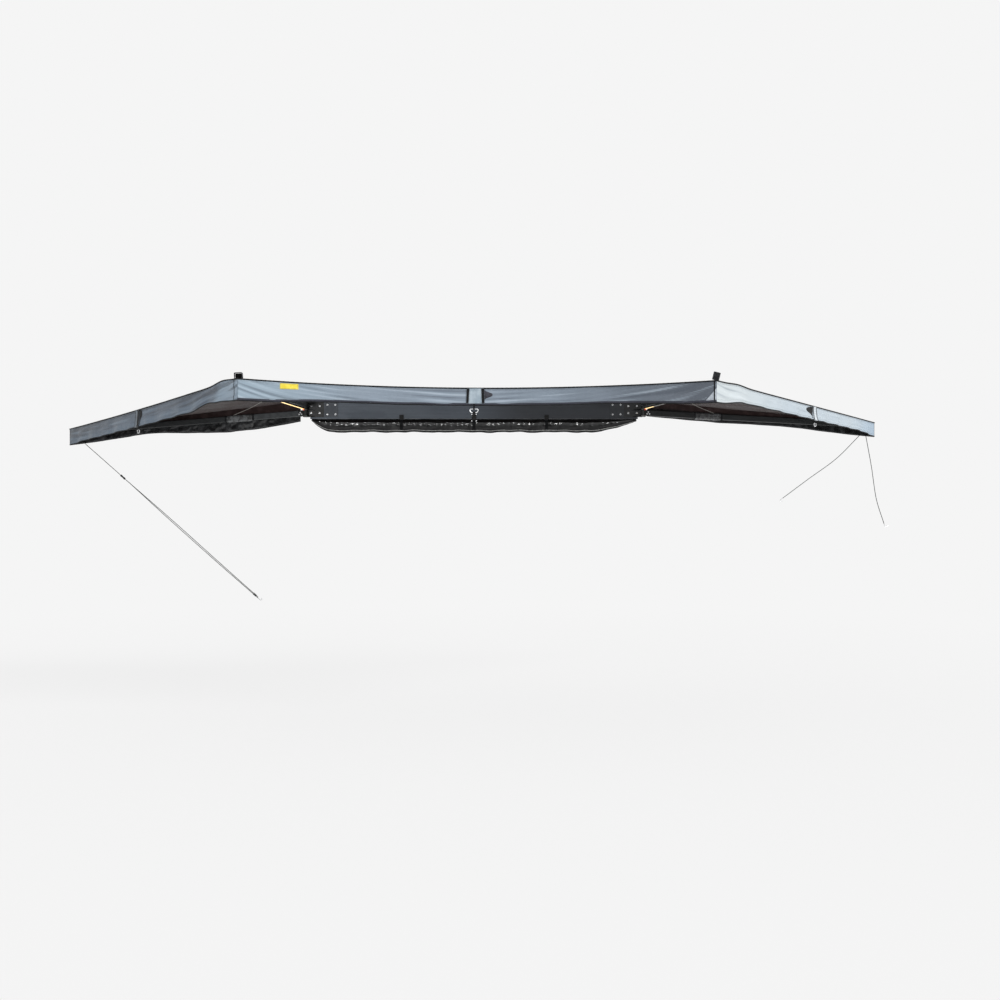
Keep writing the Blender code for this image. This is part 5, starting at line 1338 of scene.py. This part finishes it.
for where in STRAP_FRAMES:
    body = "rail" if where == "centre" else where + "_mid_arm"
    half = STRAP_HALF_WIDTH[where]
    hem = -SKIRT_MIDDLE_HEIGHT[where]
    low = hem + (0.0085 if where == "centre" else -0.004)

    def strap_out(up):
        """The panel bulges over the piping of the edge and of the hem."""
        return STRAP_FACE + 0.0042 * (hump(up, 0.009) + hump(up - hem, 0.009))

    def on_panel(across, out, up):
        down = up / low
        spread = 1 + 0.1 * down if where == "centre" else 1
        return strap_place(where, STRAP_SHIFT[where] + STRAP_LEAN[where] * down + across * spread, out, up)

    rows = []
    for up in evenly(-0.001, low, 20):
        row = []
        for across in evenly(half, -half, 16):
            pucker = 0.0007 * ripple(across / 0.012, up / 0.02, 5)
            pucker += 0.0012 * math.cos(across / half * math.pi / 2)
            row.append(on_panel(across, strap_out(up) + pucker, up))
        rows.append(row)
    panel_name = where + "_strap_panel"
    pieces = [add_sheet(
        panel_name, cloth_mesh(panel_name, rows), [strap_finish_painted_light_and_shade[where]], body, "strap", 0.001,
        (2 * half + 0.014, -low + 0.01), "stretched", STRAP_HOLDER[where], where + "_strap"
    )]
    crosswise = strap_place(where, 1, 0, 0) - strap_place(where, 0, 0, 0)
    seams = [[on_panel(across, strap_out(low) + 0.002, low + 0.004) for across in evenly(half, -half, 16)]]
    # Each side gets a band of painted shade in black tape, with stitches beside it.
    for which, side, band in (("low", -1, STRAP_PAINTED_SHADE_BANDS[where][0]), ("high", 1, STRAP_PAINTED_SHADE_BANDS[where][1])):
        line = []
        for up in evenly(-0.002, low + 0.001, 20):
            line.append(on_panel(side * (half - band / 2), strap_out(up) + 0.0022, up))
        pieces.append(add_tape(
            where + "_strap_band_" + which, line, crosswise, band, 0.001, trim_finish, body
        ))
        levels = evenly(0, low, 20)[1:-1]
        seams.append([on_panel(side * (half - band - 0.003), strap_out(up) + 0.0022, up) for up in levels])
    pieces.append(sew(where + "_strap_stitches", seams, body, spacing=0.006))
    # The webbing comes from behind the hem, goes round the ring's bar and back up behind itself.
    loop_radius = RING_WIRE + 0.0004 + WEBBING_WALL / 2
    front = 0.0024 + WEBBING_WALL / 2
    bar_level = hem - STRAP_DROP
    path = [(0.0032, hem + 0.01), (0.0034, hem + 0.001), (front, hem - 0.009), (front, bar_level + 0.006)]
    for angle in evenly(0, -math.pi, 8):
        path.append((front + loop_radius * (math.cos(angle) - 1), bar_level + loop_radius * math.sin(angle)))
    back = front - 2 * loop_radius
    path += [(back, bar_level + 0.006), (back + 0.0005, bar_level + 0.014)]
    line = [strap_place(where, 0, out, up) for out, up in path]
    pieces.append(add_tape(
        where + "_strap_webbing", line, crosswise, WEBBING_WIDTH, WEBBING_WALL, trim_finish, body
    ))
    pieces.append(copy_solid(where + "_ring", where + "_steel_ring", steel_finish, body, "steel"))
    if where == "centre":
        pieces.append(copy_solid("centre_hook", "centre_moulded_hook", hook_finish, body, "plastic"))
        places = [Vector((x, HOOK_FACE, z)) for x in (-0.0125, 0.0125) for z in (-0.079, -0.116)]
        studs = [(place, Vector((0, -1, 0))) for place in places]
        stud = screw_mesh("hook_stud", 0.0021, 0.0014, 0.0007)
        pieces.append(add_parts("centre_hook_studs", stud, studs, steel_finish, body, "steel"))
    # A dark sheet beside the panel is painted shadow of the strap's bulge.
    side, reach, level, tall = STRAP_PAINTED_SHADOW[where]
    height = SKIRT_MIDDLE_HEIGHT[where]
    rows = []
    for down in evenly(0.006, height - 0.008, 24):
        start = side * (half - 0.004) + STRAP_SHIFT[where]
        stretch = side * (0.01 + reach * math.exp(-abs((level - down) / tall) ** 3))
        row = []
        for share in evenly(0, 1, 12) if side < 0 else evenly(1, 0, 12):
            t = 0.5 - (start + stretch * share) / EDGE_WIDTH[where]
            out = edge_outward(EDGES[where], t) * (CLOTH + 0.0006)
            row.append(skirt_point(where, t, down / height) + out)
        rows.append(row)
    shadow_sheet_name = where + "_strap_gusset"
    pieces.append(add_sheet(
        shadow_sheet_name, cloth_mesh(shadow_sheet_name, rows), [painted_shadow_finish if where == "centre" else trim_finish], body,
        "strap", 0.0007, (reach + 0.012, height - 0.012), "stretched", STRAP_HOLDER[where]
    ))
    for piece in pieces:
        if where == "centre":
            gather(piece, "rear", "centre")
        else:
            gather(piece, where, "mid")


# Pull loops, stiff webbing folded into a loop and sewn to each corner of the canopy. The rear one lies as a
# box and the front one leans over. A pole's hook or a hand pulls the corner with it.
loop_webbing = tape_material("black loop webbing", paint(26, 26, 28), paint(70, 72, 74))
# Each loop's height, depth and corner, the way that it stands and the way that it opens
LOOPS = (
    ("rear", 0.045, 0.034, 0.0062, Vector((1, 0, 0.06)), Vector((0, -1, 0))),
    ("front", 0.046, 0.009, 0.0038, Vector((0.24, 0, 0.97)), Vector((0.97, 0, -0.24))),
)
LOOP_WIDTH = 0.0375
LOOP_WALL = 0.0024
for end, tall, deep, corner, loop_axis, opening_axis in LOOPS:
    body = end + "_mid_arm"
    low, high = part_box(end + "_pull_loop")
    middle = (Vector(low) + Vector(high)) / 2
    loop_axis, opening_axis = loop_axis.normalized(), opening_axis.normalized()
    deep_axis = loop_axis.cross(opening_axis)
    loop = rounded_loop(deep - LOOP_WALL, tall - LOOP_WALL, corner - LOOP_WALL / 2, 6, 8)
    centres = [middle + deep_axis * place.x + loop_axis * place.y for place, way in loop]
    add_tape(
        end + "_webbing_loop", centres, opening_axis, LOOP_WIDTH, LOOP_WALL, loop_webbing, body,
        end + "_pull_loop", closed=True
    )
    seams = []
    for across in (-0.4, 0.4):
        row = []
        for place, way in loop + loop[:1]:
            out = LOOP_WALL / 2 + 0.0002
            spot = middle + deep_axis * (place.x + way.x * out) + loop_axis * (place.y + way.y * out)
            row.append(spot + opening_axis * (across * LOOP_WIDTH))
        seams.append(row)
    sew(end + "_webbing_loop_stitches", seams, body, "webbing")
    if end == "rear":
        back = middle - opening_axis * (LOOP_WIDTH / 2 - 0.002)
        inlay_line = [back + deep_axis * reach for reach in evenly(0.0138, -0.0138, 12)]
        add_tape("rear_loop_inlay", inlay_line, loop_axis, 0.039, 0.0014, loop_webbing, body)
        tongue_line = [middle + deep_axis * 0.002 + loop_axis * reach for reach in evenly(0.018, -0.018, 12)]
        add_tape("rear_loop_tongue", tongue_line, opening_axis, 0.035, 0.0016, loop_webbing, body)
    arm_way = along(YAW[end, "mid"])
    crosswise = Vector((-arm_way.y, arm_way.x, 0))
    over_cloth = Vector((0, 0, CLOTH + 0.0024))
    line = [APEX[end].lerp(mid_corner(end), share) + over_cloth for share in evenly(0.985, 0.935, 23)]
    add_tape(end + "_loop_tab", line, crosswise, 0.03, 0.0012, loop_webbing, body)


# Cover bag, slack glossy PVC-coated cloth that hangs under the rail while the awning is open. Its zip runs
# along the lower edge beside a welt, and three moulded buckles hold its straps on the rail.
BAG_HALF_LENGTH = 1.12
BAG_CENTRE_Y = -0.0718
BAG_TAPER = {"rear": 0.15, "front": 0.33}
bag_finish, wire = new_material("glossy black bag cloth")
wear = wire.speckle(wire.place(scale=(1, 1, 2)), 14.0, 5.0)
grain = wire.speckle(wire.place(), 500.0, 2.0)
gloss = wire.tag("depth").ramp(0.2, 0.27, 1.0, 0.0)
bag_shade = wear.ramp(0.45, 0.75).blend(paint(17, 17, 18), paint(33, 33, 33))
finish_material(
    wire, bag_shade, gloss.ramp(0.0, 1.0, 0.5, 0.2), grain, 0.0002, Coat_Weight=gloss * 0.7, Coat_Roughness=0.08,
    Specular_IOR_Level=0.25
)


def bag_drop(x):
    taper = BAG_TAPER["rear" if x < 0 else "front"]
    drop = 0.012 + 0.076 * fade(BAG_HALF_LENGTH - abs(x) + 0.01, taper) ** 0.6
    return drop + 0.002 * math.sin(19 * x) - 0.0015 * math.sin(43 * x)


def bag_point(x, angle, out=0.0):
    """A place on the bag: angle 0 is its top, and it runs down the front, round the bottom and up the back."""
    share = 0.5 - 0.5 * math.cos(angle)
    front = math.sin(angle)
    half_depth = 0.008 + 0.56 * 0.017 * math.sin(math.pi * min(1.0, share) ** 1.2) ** 0.7
    lump = 1 + 0.1 * math.sin(31 * x + 5 * share) * math.sin(math.pi * share)
    reach = half_depth * abs(front) ** 0.4 * lump
    ends = fade(BAG_HALF_LENGTH - abs(x), 0.08)
    ribs = math.sin(2 * math.pi * x / 0.036 + 5 * share + 2 * ripple(x / 0.06, 0, 21))
    gathered = ribs * 0.003 * hump(share - 0.3, 0.2) * (0.4 + 0.6 * fade(0.35 - abs(x + 0.35), 0.3))
    gathered += 0.0075 * hump(share - 0.27, 0.11) if front > 0 else 0.0
    crumple = ripple(x / 0.045, share * 3.0, 22) * 0.0032
    crumple += ripple(x / 0.017, share * 6.0, 23) * 0.002 * (1.3 - share)
    bulk = reach + (gathered + crumple * fade(share, 0.2)) * ends * abs(front) ** 0.5 + out
    side = -1 if front > 0 else 1
    lift = 0.0025 * ripple(x / 0.05, 2.0, 24) * share * ends
    return Vector((x, BAG_CENTRE_Y + side * bulk, -0.0008 - bag_drop(x) * share + lift - out * share * share))


rows = []
for angle in evenly(0.06, 2 * math.pi - 0.06, 40):
    rows.append([bag_point(x, angle) for x in evenly(-BAG_HALF_LENGTH, BAG_HALF_LENGTH, 420)])
add_sheet(
    "bag_cloth", cloth_mesh("bag_cloth", rows), [bag_finish], "rail", "bag", 0.0009, (2.26, 0.21), "folded",
    "back_rail", "cover_bag", offset=-1.0
)
WELT_ANGLE = 2.42
ZIP_ANGLE = 0.9 * math.pi
BAG_TRIM = 0.02
welt_finish = mottled_finish(
    "grey bag welt", (150, 151, 150), (196, 197, 195), (30.0, 3.0), 0.5, 0.0004, stretch=(2, 8, 8)
)
trim_places = evenly(BAG_TRIM - BAG_HALF_LENGTH, BAG_HALF_LENGTH - BAG_TRIM, 400)
add_round(
    "bag_welt", [bag_point(x, WELT_ANGLE, 0.0018) for x in trim_places], 8,
    lambda angle, length: 0.0024 * (1 + 0.08 * math.sin(length / 0.006)), welt_finish, "rail", "bag"
)
zip_line = [bag_point(x, ZIP_ANGLE, 0.0012) for x in trim_places]
round_bag = [bag_point(x, 0.8 * math.pi) - bag_point(x, ZIP_ANGLE) for x in trim_places]
add_tape("bag_zip_tape", zip_line, round_bag, 0.012, 0.0009, trim_finish, "rail", slot="bag")
tooth_finish = mottled_finish("black zip coil", (40, 40, 42), (78, 79, 82), (300.0, 1.0), 0.35)
zip_tooth = bpy.data.objects.new("zip_tooth_pattern", stitch_mesh(0.0019, 0.0013))
teeth_line = [point + Vector((0, -0.0011, -0.0004)) for point in zip_line]
sew("bag_zip_teeth", [teeth_line], "rail", "bag", 0.0026, tooth_finish, zip_tooth, smooth=False)

for where, x in (("rear", -0.5), ("centre", 0.0), ("front", 0.5)):
    dress(hook_finish, "bag_buckle_" + where)
    line = [bag_point(x, angle, 0.0016) for angle in evenly(0.12 * math.pi, 0.78 * math.pi, 25)]
    add_tape("bag_strap_" + where, line, Vector((1, 0, 0)), 0.022, 0.0013, trim_finish, "rail")


# Lamps and surroundings: a bright sky, a soft high sun from the right front, a low sun from the front that
# reaches under the cloth, and a pale floor that takes the shadow. The background shows plain and nearly white.
def add_sun(name, strength, angle, direction):
    sun = bpy.data.lights.new(name, "SUN")
    sun.energy = strength
    sun.angle = math.radians(angle)
    holder = bpy.data.objects.new(name, sun)
    holder.rotation_euler = Vector(direction).to_track_quat("-Z", "Y").to_euler()
    scene.collection.objects.link(holder)


add_sun("key", 2.3, 18, (-0.9, 0.62, -0.55))
add_sun("low front", 0.9, 6, (0.22, 0.95, 0.12))
BACKDROP = paint(245, 245, 245)
world = bpy.data.worlds.new("studio")
scene.world = world
world.use_nodes = True
world.node_tree.nodes.clear()
wire = Wire(world.node_tree)
seen = wire.node("ShaderNodeLightPath", output="Is Camera Ray")
for kind in ("Glossy", "Transmission"):
    seen = wire.maths("MAXIMUM", seen, wire.node("ShaderNodeLightPath", output="Is " + kind + " Ray"))
light = wire.node("ShaderNodeBackground", None, {"Color": (1, 1, 1, 1), "Strength": 0.55})
shown = wire.node("ShaderNodeBackground", None, {"Color": BACKDROP, "Strength": 1.0})
mixed = wire.node("ShaderNodeMixShader", None, {0: seen, 1: light, 2: shown})
wire.node("ShaderNodeOutputWorld", None, {"Surface": mixed})

# The floor fades out between these distances from the awning's middle.
FLOOR_NEAR, FLOOR_FAR = 3.0, 9.0
FLOOR_LEVEL = -1.9
FLOOR_REACH = 12
floor_finish, wire = new_material("pale floor")
solid_share = wire.distance_from(Vector()).ramp(FLOOR_NEAR, FLOOR_FAR, 0.12, 0.0)
solid = wire.node("ShaderNodeBsdfDiffuse", None, {"Color": paint(246, 246, 246)})
clear = wire.node("ShaderNodeBsdfTransparent")
held = wire.node("ShaderNodeMixShader", None, {0: solid_share, 1: clear, 2: solid})
wire.node("ShaderNodeOutputMaterial", None, {"Surface": held})
floor_mesh = bpy.data.meshes.new("floor")
corners = [(x * FLOOR_REACH, y * FLOOR_REACH, FLOOR_LEVEL) for x, y in ((-1, -1), (1, -1), (1, 1), (-1, 1))]
floor_mesh.from_pydata(corners, [], [(0, 1, 2, 3)])
floor_mesh.materials.append(floor_finish)
floor = bpy.data.objects.new("floor", floor_mesh)
scene.collection.objects.link(floor)

bpy.context.view_layer.update()
